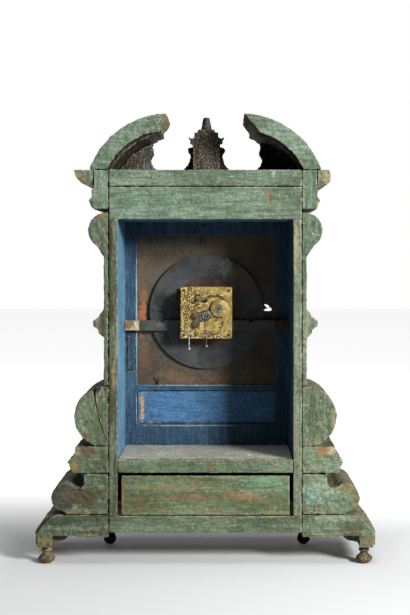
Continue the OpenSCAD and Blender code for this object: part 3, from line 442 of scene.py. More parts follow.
@dataclass(frozen=True)
class OldMetal:
    """Aged metal: clouded colour, tarnish or rust in patches, fine scratches and darker seams."""

    name: str
    metal: Colour
    deep: Colour
    stain: Colour
    metallic: float = 1.0
    rough: float = 0.42
    stained: float = 0.4
    scale: float = 24.0
    bumps: float = 0.00025
    chased: bool = False
    patches: tuple[ColourPatch, ...] = ()

    def make(self) -> bpy.types.Material:
        """Build the material."""
        g = Graph(self.name)
        cloud = g.noise(g.place, self.scale, 7.0, 0.65, 0.4)
        speck = g.noise(g.place, self.scale * 14, 4.0, 0.6)
        colour = g.blend(g.smooth(cloud, 0.36, 0.64), self.deep, self.metal)
        patchy = g.smooth(
            g.noise(g.place, self.scale * 0.6, 9.0, 0.7), 0.62 - 0.2 * self.stained,
            0.7 - 0.2 * self.stained)
        colour = g.lay(colour, patchy, 0.8, self.stain)
        colour = g.lay(colour, g.smooth(speck, 0.55, 0.7), 0.4, self.deep)
        # Sharp edges are lightened towards the metal's colour as painted highlights.
        corner = g.smooth(g.edges(0.0012), 0.02, 0.25)
        colour = g.lay(colour, corner, 0.35, self.metal)
        dull = patchy
        for spot in self.patches:
            mask = g.spot(spot, g.vector("MULTIPLY", g.place, (8.0, 8.0, 8.0)).outputs[0])
            colour = g.lay(colour, mask, 0.6, spot.colour)
            dull = g.math("MAXIMUM", dull, mask)
        height = g.math("ADD", speck, g.times(cloud, 0.6))
        if self.chased:
            cuts, ridge_highlights = self.chasing(g)
            # Pale gold lines beside the cuts are painted highlights of ridges that are not modelled.
            colour = g.lay(colour, ridge_highlights, 0.7, (240, 214, 140))
            colour = g.lay(colour, cuts, 0.9, (58, 42, 20))
            height = g.math("SUBTRACT", height, g.times(cuts, 3.0))
        g.join(colour, g.shader.inputs["Base Color"])
        g.join(
            g.smooth(dull, 0.0, 1.0, self.metallic, self.metallic * 0.25),
            g.shader.inputs["Metallic"])
        g.join(g.smooth(g.math("ADD", g.times(cloud, 0.5), g.times(speck, 0.5)), 0.3, 0.7,
                        self.rough - 0.1, self.rough + 0.22), g.shader.inputs["Roughness"])
        g.relief(height, self.bumps, 0.7)
        return g.material

    @staticmethod
    def chasing(g: Graph) -> tuple[bpy.types.NodeSocket, bpy.types.NodeSocket]:
        """Find the cuts of leafy chasing at the back plate's left side and foot, and pale lines beside
        them that paint ridge highlights.
        """
        low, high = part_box("back_plate")
        beside = g.smooth(g.axis("X"), high.x - 0.052, high.x - 0.04)
        below = g.smooth(g.axis("Z"), low.z + 0.014, low.z + 0.022, 1.0, 0.0)
        where = g.math("MAXIMUM", beside, below)
        curl = g.noise(g.place, 66.0, 2.0, 0.5, 3.0)
        cuts = g.smooth(g.gap(curl, 0.47), 0.03, 0.06, 1.0, 0.0)
        ridge_highlights = g.smooth(g.gap(curl, 0.58), 0.02, 0.06, 1.0, 0.0)
        return g.times(cuts, where), g.times(ridge_highlights, where)


# Colour of surfaces turned away from the open back: grime and unpainted wood, and painted shade.
SHADED = (64, 60, 46)


class Tone(Enum):
    """Greens of the outer paint as paint, dark and light colours, from the top of the case down."""

    SEA = ((116, 138, 118), (80, 96, 74), (142, 160, 140))
    MEADOW = ((120, 137, 110), (84, 98, 74), (148, 164, 138))
    MOSS = ((106, 122, 96), (66, 78, 56), (138, 154, 128))


def green(name: str, grain: Grain, patches: Sequence[ColourPatch] = (), tone: Tone = Tone.SEA,
          **more: object) -> PaintedWood:
    """Choose the case's outer paint.

    Args:
        name: Name of the finish.
        grain: Way of the grain.
        patches: Patches where the photo shows them.
        tone: Which of the case's greens.
        **more: Other fields of the finish.

    Returns:
        The finish.
    """
    return PaintedWood(name, *tone.value, grain=grain, sides=SHADED, patches=tuple(patches), **more)


class Blue(Enum):
    """Blues inside: paint, dark, light, under and scrape colours, and the share of wormholes."""

    WALL = ((98, 143, 168), (74, 115, 143), (126, 164, 181), (70, 84, 88), (160, 172, 166), 0.05)
    # The front board's darker blue, also laid on the right wall's inner face as painted shade.
    BOARD = ((52, 82, 105), (34, 58, 81), (73, 105, 124), (44, 50, 52), (120, 138, 140), 0.03)


def blue(name: str, grain: Grain, patches: Sequence[ColourPatch] = (), shade: Blue = Blue.WALL,
         **more: object) -> PaintedWood:
    """Choose the paint of the inside.

    Args:
        name: Name of the finish.
        grain: Way of the grain.
        patches: Patches where the photo shows them.
        shade: The walls' blue, or the darker one of the front board, which the right wall's inner face
            also takes as painted shade.
        **more: Other fields of the finish.

    Returns:
        The finish.
    """
    *colours, worms = shade.value
    return PaintedWood(
        name, *colours, grain=grain, patches=tuple(patches), worms=worms, mottled=0.3, **more)


def placed(name: str, data: bpy.types.ID) -> bpy.types.Object:
    """Link a new object that holds some data."""
    made = bpy.data.objects.new(name, data)
    bpy.context.scene.collection.objects.link(made)
    return made


def deselect() -> None:
    """Leave edit mode and select nothing."""
    if bpy.context.mode != "OBJECT":
        bpy.ops.object.mode_set(mode="OBJECT")
    for other in bpy.context.view_layer.objects:
        other.select_set(False)


def hold(piece: bpy.types.Object) -> bpy.types.Object:
    """Make one object the only selected and active one."""
    deselect()
    piece.select_set(True)
    bpy.context.view_layer.objects.active = piece
    return piece


def settle(piece: bpy.types.Object) -> bpy.types.Object:
    """Apply an object's place and all its modifiers."""
    hold(piece)
    bpy.ops.object.transform_apply(location=True, rotation=True, scale=True)
    for modifier in list(piece.modifiers):
        bpy.ops.object.modifier_apply(modifier=modifier.name)
    return piece


def tidy_mesh(piece: bpy.types.Object, near: float = 0.00001, outward: bool = True) -> None:
    """Merge doubled points and turn the faces outwards."""
    hold(piece)
    bpy.ops.object.mode_set(mode="EDIT")
    bpy.ops.mesh.select_all(action="SELECT")
    bpy.ops.mesh.remove_doubles(threshold=near)
    if outward:
        bpy.ops.mesh.normals_make_consistent(inside=False)
    bpy.ops.object.mode_set(mode="OBJECT")


def solid_copy(name: str, nodes: Sequence[str]) -> bpy.types.Object:
    """Copy the solids of some nodes into one new merged piece.

    Args:
        name: Name of the new piece.
        nodes: The nodes to copy.

    Returns:
        The new object.
    """
    piece = merge(name, [placed(name, frame["nodes"][node].data.copy()) for node in nodes])
    piece.data.materials.clear()
    tidy_mesh(piece, outward=False)
    return piece


def texture(kind: str, scale: float, contrast: float = 1.0) -> bpy.types.Texture:
    """Make a procedural texture for a displacement."""
    made = bpy.data.textures.new("relief", type=kind)
    made.noise_scale = scale
    made.contrast = contrast
    return made


@dataclass(frozen=True)
class Age:
    """How rough wood has become: voxel, broad dents, chips, fine grain and gouges, in metres."""

    voxel: float = 0.0022
    dents: float = 0.0004
    chips: float = 0.0006
    grain: float = 0.0002
    gouges: float = 0.0

    def work(self, piece: bpy.types.Object) -> bpy.types.Object:
        """Remesh the piece and push its surface in here and there, never past the box it had."""
        low, high = Vector(piece.bound_box[0]), Vector(piece.bound_box[6])
        remesh = piece.modifiers.new("Remesh", "REMESH")
        remesh.mode = "VOXEL"
        remesh.voxel_size = self.voxel
        remesh.use_smooth_shade = True
        jobs = [
            ("CLOUDS", 0.06, 1.0, self.dents), ("CLOUDS", 0.011, 3.5, self.chips),
            ("CLOUDS", 0.004, 1.0, self.grain)]
        if self.gouges > 0:
            jobs.append(("VORONOI", 0.006, 1.6, self.gouges))
        for kind, scale, contrast, depth in jobs:
            push = piece.modifiers.new("Displace", "DISPLACE")
            push.texture = texture(kind, scale, contrast)
            push.texture_coords = "LOCAL"
            push.mid_level = 1.0
            push.strength = depth
        settle(piece)
        for vertex in piece.data.vertices:
            vertex.co = [min(max(value, a), b) for value, a, b in zip(vertex.co, low, high)]
        return piece


OLD = Age(voxel=0.0024)
FINE = Age(voxel=0.0017)
WORN = Age(voxel=0.0019, dents=0.0007, chips=0.0012)
BROAD = Age(voxel=0.004, dents=0.0012, chips=0.001)
GOUGED = Age(voxel=0.0015, dents=0.0004, chips=0.0006, gouges=0.0024)


def dress(piece: bpy.types.Object, body: str, material: bpy.types.Material,
          nodes: Sequence[str] = ()) -> bpy.types.Object:
    """Give a piece its finish and its body.

    Args:
        piece: The finished object.
        body: The body it rides on.
        material: Its material.
        nodes: Nodes that it stands for.

    Returns:
        The piece.
    """
    piece.data.materials.clear()
    piece.data.materials.append(material)
    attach(piece, body)
    if nodes:
        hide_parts(*nodes)
    log.info("%s: %d faces", piece.name, len(piece.data.polygons))
    return piece


def aged(name: str, nodes: Sequence[str], finish: PaintedWood, age: Age = OLD,
         body: str = "case") -> bpy.types.Object:
    """Replace wooden nodes by one worn piece.

    Args:
        name: Name of the new piece.
        nodes: The nodes it replaces.
        finish: Its finish.
        age: How rough it has become.
        body: The body it rides on.

    Returns:
        The new object.
    """
    piece = age.work(solid_copy(name, nodes))
    return dress(piece, body, finish.make(), nodes)


def recoat(finish: "PaintedWood | OldMetal", *nodes: str) -> None:
    """Give CAD nodes one shared finish and keep their shapes."""
    material = finish.make()
    for node in nodes:
        slots = frame["nodes"][node].data.materials
        slots.clear()
        slots.append(material)
        log.info("%s: finish %s", node, finish.name)


def wire(name: str, points: Sequence[Point], radius: float, closed: bool = False,
         sides: int = 3) -> bpy.types.Object:
    """Draw a round wire along points.

    Args:
        name: Name of the piece.
        points: Points along its middle.
        radius: Its radius.
        closed: True if it ends where it starts.
        sides: Resolution of its section.

    Returns:
        The wire as a mesh object.
    """
    curve = bpy.data.curves.new(name, "CURVE")
    curve.dimensions = "3D"
    curve.bevel_depth = radius
    curve.bevel_resolution = sides
    curve.use_fill_caps = True
    spline = curve.splines.new("POLY")
    spline.points.add(len(points) - 1)
    for target, point in zip(spline.points, points):
        target.co = (*point, 1.0)
    spline.use_cyclic_u = closed
    piece = placed(name, curve)
    hold(piece)
    bpy.ops.object.convert(target="MESH")
    piece = bpy.context.view_layer.objects.active
    tidy_mesh(piece)
    bpy.ops.object.shade_smooth()
    return piece


def cut_sheet(name: str, outline: Sequence[Place], back: float, front: float,
              bevel: float = 0.0003) -> bpy.types.Object:
    """Cut an outline in X and Z from a sheet.

    Args:
        name: Name of the piece.
        outline: Corners in X and Z.
        back: Y of the face towards the open back.
        front: Y of the face towards the dial side.
        bevel: Width of the broken edges.

    Returns:
        The new object.
    """
    mesh = bpy.data.meshes.new(name)
    mesh.from_pydata([(x, back, z) for x, z in outline], [], [list(range(len(outline)))])
    piece = placed(name, mesh)
    hold(piece)
    bpy.ops.object.mode_set(mode="EDIT")
    bpy.ops.mesh.select_all(action="SELECT")
    bpy.ops.mesh.extrude_region_move(TRANSFORM_OT_translate={"value": (0, front - back, 0)})
    bpy.ops.mesh.select_all(action="SELECT")
    bpy.ops.mesh.normals_make_consistent(inside=False)
    bpy.ops.object.mode_set(mode="OBJECT")
    if bevel > 0:
        edge = piece.modifiers.new("Bevel", "BEVEL")
        edge.width = bevel
        edge.segments = 2
        edge.limit_method = "ANGLE"
    return settle(piece)


def turned(name: str, profile: Sequence[Place], centre: Point, along_y: bool = False,
           steps: int = 40) -> bpy.types.Object:
    """Turn a profile on a lathe.

    Args:
        name: Name of the piece.
        profile: Radius and height pairs, from one end of the axis to the other.
        centre: Where the axis starts.
        along_y: True if the axis points to the open back, otherwise up.
        steps: Steps round.

    Returns:
        The new object.
    """
    mesh = bpy.data.meshes.new(name)
    start = Vector(centre)
    place = (
        lambda r,
        h: start + Vector((r, h, 0))) if along_y else (lambda r, h: start + Vector((r, 0, h)))
    mesh.from_pydata(
        [place(r, h) for r, h in profile], [(i, i + 1) for i in range(len(profile) - 1)], [])
    piece = placed(name, mesh)
    hold(piece)
    bpy.ops.object.mode_set(mode="EDIT")
    bpy.ops.mesh.select_all(action="SELECT")
    axis = (0, 1, 0) if along_y else (0, 0, 1)
    bpy.ops.mesh.spin(steps=steps, angle=math.tau, center=centre, axis=axis)
    bpy.ops.object.mode_set(mode="OBJECT")
    tidy_mesh(piece)
    hold(piece)
    bpy.ops.object.shade_smooth_by_angle(angle=math.radians(40))
    return piece


def merge(name: str, parts: Sequence[bpy.types.Object]) -> bpy.types.Object:
    """Join several objects into one piece."""
    deselect()
    for part in parts:
        part.select_set(True)
    bpy.context.view_layer.objects.active = parts[0]
    if len(parts) > 1:
        bpy.ops.object.join()
    piece = bpy.context.view_layer.objects.active
    piece.name = name
    return piece


def carve(piece: bpy.types.Object, cutter: bpy.types.Object) -> None:
    """Cut one object out of another and delete the cutter."""
    cut = piece.modifiers.new("Boolean", "BOOLEAN")
    cut.operation = "DIFFERENCE"
    cut.solver = "EXACT"
    cut.object = cutter
    hold(piece)
    bpy.ops.object.modifier_apply(modifier=cut.name)
    bpy.data.objects.remove(cutter)


def crack(points: Sequence[Point], depth: float) -> bpy.types.Object:
    """Make the cutter of a crack.

    Args:
        points: X, Z and half width along the crack.
        depth: How deep it goes from the back plane.

    Returns:
        The cutter.
    """
    left = [(x - w, z) for x, z, w in points]
    right = [(x + w, z) for x, z, w in reversed(points)]
    return cut_sheet("crack", left + right, BACK_Y + OVERSHOOT, BACK_Y - depth, bevel=0.0)


@dataclass
class Case:
    """Rails, walls and boards of the carcass."""

    def build(self) -> None:
        """Build and dress the carcass."""
        chip = patch(268.6, 195.5, 1.5, 7, (172, 122, 74), 0.35)
        pale_streak = patch(274, 174, 1.6, 3.6, (158, 176, 152), 0.25)
        aged(
            "cornice_rail_worn", ["cornice_rail"],
            green("rail_green_top", Grain.ALONG_X, [pale_streak], wear=0.3, worms=0.1, stains=0.45),
            FINE)
        aged("frieze_rail_worn", ["frieze_rail"],
             green("rail_green_frieze", Grain.ALONG_X, [chip], wear=0.4, worms=0.15), FINE)
        aged(
            "shelf_rail_worn", ["shelf_rail"], green(
                "rail_green_shelf", Grain.ALONG_X, [patch(212, 466, 4.5, 1.8, (140, 98, 62), 0.6)],
                tone=Tone.MEADOW, wear=0.5),
            FINE)
        aged("base_rail_worn", ["base_rail"],
             green("rail_green_base", Grain.ALONG_X, tone=Tone.MOSS, wear=0.45), FINE)
        for side, name in ((1, "left"), (-1, "right")):
            self.wall(side, name)
        aged(
            "ceiling_worn", ["ceiling_board"],
            blue("ceiling_blue", Grain.ALONG_X), BROAD)
        recoat(green("hidden_green", Grain.ALONG_X), "bottom_board")
        aged(
            "roof_worn", ["roof_board"], PaintedWood(
                "roof_wood", (96, 92, 78), (70, 64, 54), (126, 120, 104), grain=Grain.ALONG_X),
            BROAD)
        self.shelf()

    def wall(self, side: int, name: str) -> None:
        """Build a side wall whose back edge is green and whose inner face is blue."""
        piece = FINE.work(solid_copy(f"{name}_wall_worn", [f"{name}_wall"]))
        inner = abs(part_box("left_wall")[0].x)
        worn = ()
        if side > 0:
            worn = (
                patch(111, 245, 2.6, 22, (74, 62, 40), 2.2),
                patch(109, 310, 2.4, 26, (78, 68, 46), 2.2),
                patch(114, 368, 1.6, 22, (166, 146, 98), 2.2),
                patch(108, 400, 2.0, 20, (84, 74, 52), 2.2))
        else:
            worn = (
                patch(296, 250, 2.2, 24, (158, 154, 124), 1.6),
                patch(294, 420, 1.4, 26, (150, 140, 106), 1.4))
        tones = ((104, 116, 92), (72, 78, 54), (140, 154, 130)) if side > 0 else (
            (122, 136, 112), (94, 106, 82), (152, 164, 140))
        paint = PaintedWood(
            f"{name}_stile_green", *tones, grain=Grain.ALONG_Z, sides=SHADED, wear=0.85, worms=0.12,
            streaks=0.7, mottled=0.75, patches=worn)
        dress(piece, "case", paint.make(), [f"{name}_wall"])
        # The right wall's inner face, turned away from the lamp, takes the board's darker blue as
        # painted shade.
        shade = Blue.WALL if side > 0 else Blue.BOARD
        inner_paint = blue(f"{name}_wall_blue", Grain.ALONG_Z, shade=shade, wear=0.3, streaks=0.6)
        piece.data.materials.append(inner_paint.make())
        raw = PaintedWood(
            f"{name}_wall_raw", (92, 76, 48), (50, 40, 26), (130, 108, 70), grain=Grain.ALONG_Z,
            wear=0.7, mottled=0.8)
        piece.data.materials.append(raw.make())
        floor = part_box("shelf_board")[0].z
        edge, near, turned_in = BACK_Y - 0.0018, 0.002, -0.3
        for face in piece.data.polygons:
            middle = face.center
            inside = abs(middle.x) < inner + near and middle.y < edge
            inside = inside and face.normal.x * side < turned_in
            face.material_index = (1 if middle.z > floor else 2) if inside else 0

    def shelf(self) -> None:
        """Build the dusty shelf board and the crumbs on it."""
        dusty = PaintedWood(
            "shelf_dust", (184, 182, 168), (158, 158, 144), (204, 200, 186), under=(118, 110, 96),
            scrape=(212, 208, 194), grain=Grain.ALONG_X, wear=0.2, streaks=0.35, worms=0.0,
            mottled=0.4)
        aged("shelf_worn", ["shelf_board"], dusty, OLD)
        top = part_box("shelf_board")[1].z
        crumbs = []
        places = [
            (0.11, 0.06, 0.0024), (-0.098, 0.08, 0.0032), (-0.104, 0.075, 0.002),
            (0.02, 0.1, 0.0014), (-0.05, 0.03, 0.0016), (0.15, 0.02, 0.002), (0.06, -0.02, 0.0015),
            (-0.14, -0.01, 0.0018)]
        for x, y, size in places:
            bpy.ops.mesh.primitive_ico_sphere_add(
                subdivisions=2, radius=size, location=(x, y, top + size * 0.2))
            crumb = bpy.context.view_layer.objects.active
            crumb.scale = (1.3, 0.9, 0.6)
            push = crumb.modifiers.new("Displace", "DISPLACE")
            push.texture = texture("CLOUDS", 0.002)
            push.strength = size
            crumbs.append(settle(crumb))
        crumb_finish = PaintedWood(
            "plaster_crumb", (206, 200, 186), (176, 168, 150), (226, 222, 212), worms=0.0)
        dress(merge("shelf_crumbs", crumbs), "case", crumb_finish.make())


@dataclass
class Wings:
    """Scrolled wings, plinth blocks and foot boards at both sides."""

    crack_px: tuple[Point, ...] = (
        (93.6, 386.0, 1.6), (94.5, 396.0, 0.9), (97.3, 412.0, 0.45), (100.2, 423.6, 0.6),
        (103.4, 433.0, 0.5), (107.6, 443.0, 0.35))

    def build(self) -> None:
        """Build and dress the wings."""
        upper = green(
            "wing_green", Grain.ALONG_Z, [
                patch(99.5, 216.5, 5.5, 3.4, (148, 116, 78), 1.4),
                patch(102.5, 330, 2.2, 66, (84, 74, 50), 1.7),
                patch(98.5, 300, 1.6, 60, (146, 138, 108), 1.6),
                patch(308, 330, 2.0, 56, (150, 148, 118), 1.7)],
            wear=0.8, worms=0.7, mottled=0.8)
        aged("upper_scrolls_worn", ["upper_scrolls"], upper, WORN)
        self.lower_scrolls()
        caps = green(
            "cap_green", Grain.ALONG_X, [
                patch(84, 451, 9, 6, (112, 92, 66), 1.0),
                patch(76, 452, 5, 5, (150, 140, 118), 1.2),
                patch(73, 465.5, 4.5, 8, (150, 128, 74), 1.2),
                patch(327, 452, 9, 4.6, (158, 116, 74), 2.0),
                patch(103.6, 457, 2.6, 2.4, (104, 78, 54), 1.5),
                patch(318, 466, 12, 1.6, (160, 158, 128), 1.3),
                patch(332, 449, 3.0, 4, (184, 174, 146), 2.2)],
            tone=Tone.MEADOW, wear=0.9, worms=0.7, mottled=0.8)
        aged("plinth_caps_worn", ["plinth_caps"], caps, WORN)
        blocks = green(
            "block_green", Grain.ALONG_X, [
                # The dark patch at the left block's volute and the near-black strip beside it are
                # painted shade under the cap.
                patch(64, 495, 16, 16, (66, 58, 50), 0.6),
                patch(66, 495, 10, 9, (100, 90, 78), 1.3),
                patch(86, 498, 12, 13, (84, 74, 54), 1.1),
                patch(80, 481, 2.4, 9, (24, 20, 16), 0.4),
                patch(76, 512, 12, 1.8, (140, 126, 88), 2.2),
                patch(344, 487, 11, 4, (146, 126, 82), 2.4),
                patch(355, 502, 3, 12, (136, 122, 88), 2.4),
                patch(322, 490, 14, 11, (152, 172, 146), 2.2),
                patch(311, 498, 4, 10, (126, 160, 146), 2.2),
                patch(318, 512, 18, 2, (150, 136, 98), 1.6),
                patch(104, 505, 3.0, 2.2, (110, 88, 58), 1.6)],
            tone=Tone.MEADOW, wear=0.8, worms=0.8, mottled=0.8)
        aged("plinth_blocks_worn", ["plinth_blocks"], blocks, WORN)
        feet = green(
            "foot_green", Grain.ALONG_X, [
                patch(43.5, 541, 7.5, 7, (144, 128, 84), 1.4),
                patch(60, 540.5, 7, 4.6, (140, 116, 66), 1.3, 0.024),
                patch(92, 535, 12, 1.4, (150, 140, 108), 1.2),
                patch(330, 534, 20, 1.4, (150, 140, 108), 1.2),
                patch(352, 530, 10, 9, (92, 94, 72), 1.5), patch(368, 541, 6, 4, (136, 122, 86)),
                patch(340, 518, 22, 3, (140, 158, 134), 1.5),
                patch(60, 523, 22, 4, (72, 82, 62), 1.5), patch(103, 531, 2.4, 4, (104, 84, 66))],
            tone=Tone.MOSS, wear=0.6, worms=0.25, mottled=0.7)
        aged("foot_boards_worn", ["foot_boards"], feet, WORN)

    def lower_scrolls(self) -> None:
        """Build the large scrolls, the left one split by a crack."""
        finish = green(
            "scroll_green", Grain.ALONG_Z, [
                patch(95.5, 388, 6.5, 4.4, (46, 38, 30), 0.5),
                patch(84, 437, 8, 3.4, (120, 106, 74), 1.1),
                patch(96.6, 406, 0.9, 7, (206, 176, 116), 0.9),
                patch(101, 421, 0.9, 4, (206, 176, 116), 0.9),
                patch(71, 398, 3, 20, (84, 78, 52), 1.5),
                patch(69, 424, 4, 12, (154, 134, 88), 1.6),
                patch(98, 430, 6, 16, (92, 104, 76), 1.5), patch(314, 386, 6, 3, SILVER_GREY, 0.8),
                patch(334, 424, 1.8, 18, (154, 142, 104), 2.4),
                patch(322, 443, 12, 1.2, (160, 148, 108), 2.0)],
            tone=Tone.MEADOW, wear=0.8, worms=0.85, mottled=0.8)
        piece = WORN.work(solid_copy("lower_scrolls_worn", ["lower_scrolls"]))
        line = []
        for x, y, half in self.crack_px:
            at = seen(x, y)
            line.append((at[0], at[1], half * PIXEL))
        carve(piece, crack(line, 0.03))
        dress(piece, "case", finish.make(), ["lower_scrolls"])


@dataclass
class Crown:
    """Cornice, broken pediment, pedestal and finial stub."""

    broken_px: Place = (330.5, 175.0)

    def build(self) -> None:
        """Build and dress the top."""
        tip = [
            patch(81, 179, 9, 7, (126, 108, 74), 1.9), patch(77, 174, 4, 4, (150, 136, 100), 1.6),
            patch(326.5, 175, 4.6, 7, (158, 146, 112), 1.6, deep=True),
            patch(92, 185, 3, 2.4, BROWN, 0.8), patch(321, 184, 4, 4, (110, 98, 74), 0.8)]
        cornice = aged(
            "cornice_worn", ["cornice_moulding"],
            green("cornice_green", Grain.ALONG_Y, tip, wear=0.7), WORN)
        self.break_corner(cornice)
        aged(
            "entablature_worn", ["entablature_blocks"], green(
                "entablature_green", Grain.ALONG_Z, [
                    patch(97, 203, 1.6, 4, (122, 112, 84), 1.0), patch(91, 204, 2.4, 5, BROWN, 0.8),
                    patch(318, 204, 2.2, 5, (142, 134, 104), 0.8)],
                wear=0.45, worms=0.25),
            WORN)
        arch_tips = [
            patch(165.5, 118, 3.4, 9, (134, 118, 84), 1.2, deep=True),
            patch(155, 140, 3.4, 5, (92, 74, 56), 0.4, deep=True),
            patch(161.5, 134, 3, 8, (24, 20, 16), 0.3, deep=True),
            patch(245.5, 121, 3.4, 9, (130, 116, 84), 1.2, deep=True),
            patch(256, 140, 3.4, 5, (84, 70, 54), 0.4, deep=True)]
        self.arches(arch_tips)
        black = PaintedWood(
            "gouged_black", (52, 45, 38), (32, 27, 23), (92, 84, 70), under=(104, 94, 78),
            scrape=(142, 140, 124), grain=Grain.ALONG_Z, wear=0.5, streaks=0.3, worms=0.0,
            edge=0.0012, punched=0.5, patches=(
                patch(147, 165, 12, 12, (96, 100, 98), 2.2, 0.03, deep=True),
                patch(278, 160, 22, 22, (18, 16, 14), 1.4, 0.03, deep=True)))
        aged("tympanum_gouged", ["tympanum_panels"], black, GOUGED)
        self.pedestal()
        stub = PaintedWood(
            "stub_black", (48, 44, 40), (26, 22, 20), (86, 80, 70), grain=Grain.ALONG_Z, worms=0.05)
        aged(
            "finial_stub_worn", ["finial_stub"], stub,
            Age(voxel=0.001, dents=0.0005, chips=0.0006))

    def break_corner(self, piece: bpy.types.Object) -> None:
        """Break the cornice's right back corner off along the camera's line of sight."""
        bpy.ops.mesh.primitive_cube_add(size=1.0)
        cutter = bpy.context.view_layer.objects.active
        low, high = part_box("cornice_moulding")
        reach, margin = 0.176, 0.02
        near, far = seen(*self.broken_px)[0], seen(*self.broken_px, reach)[0]
        for vertex in cutter.data.vertices:
            right, back, up = (1 if value > 0 else -1 for value in vertex.co)
            edge, y = (near, BACK_Y + OVERSHOOT) if back > 0 else (far, BACK_Y - reach)
            x = edge if right > 0 else low.x - margin
            vertex.co = (x, y, high.z + margin / 2 if up > 0 else low.z - margin / 2)
        carve(piece, cutter)

    def pedestal(self) -> None:
        """Build the punched pedestal with its nearly black side boards."""
        punched = PaintedWood(
            "punched_grey", (70, 64, 54), (44, 38, 32), (112, 102, 86), under=(122, 110, 90),
            scrape=(140, 128, 106), grain=Grain.ALONG_Z, wear=0.6, streaks=0.4, worms=0.0,
            edge=0.0012, mottled=0.8, punched=0.9)
        piece = GOUGED.work(solid_copy("pedestal_gouged", ["pedestal"]))
        dress(piece, "case", punched.make(), ["pedestal"])
        curled = PaintedWood(
            "curled_black", (30, 26, 23), (18, 16, 14), (56, 50, 42), under=(70, 60, 48),
            scrape=(84, 74, 60), grain=Grain.ALONG_Z, wear=0.3, worms=0.0, edge=0.0012)
        piece.data.materials.append(curled.make())
        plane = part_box("pedestal")[1].y - 0.0175
        for face in piece.data.polygons:
            if face.center.y < plane:
                face.material_index = 1

    def arches(self, tips: Sequence[ColourPatch]) -> None:
        """Build the broken arches with a dark lining underneath."""
        piece = WORN.work(solid_copy("arches_worn", ["pediment_arches"]))
        dress(
            piece, "case",
            green("arch_green", Grain.ALONG_X, tips, wear=0.5, worms=0.08).make(),
            ["pediment_arches"])
        dark = PaintedWood(
            "arch_lining", (44, 40, 33), (24, 22, 19), (72, 66, 52), under=(92, 82, 62),
            grain=Grain.ALONG_Y, wear=0.5, worms=0.05)
        piece.data.materials.append(dark.make())
        low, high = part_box("pediment_arches")
        rise, outer, band = 0.064, 0.191, 0.039
        centre = Vector((high.x - math.sqrt(outer * outer - rise * rise), low.z - rise))
        for face in piece.data.polygons:
            spot = Vector((abs(face.center.x), face.center.z)) - centre
            lining = spot.length < outer - band + 0.0022 and spot.x > 0.02
            if lining and face.center.y < BACK_Y - 0.0015:
                face.material_index = 1


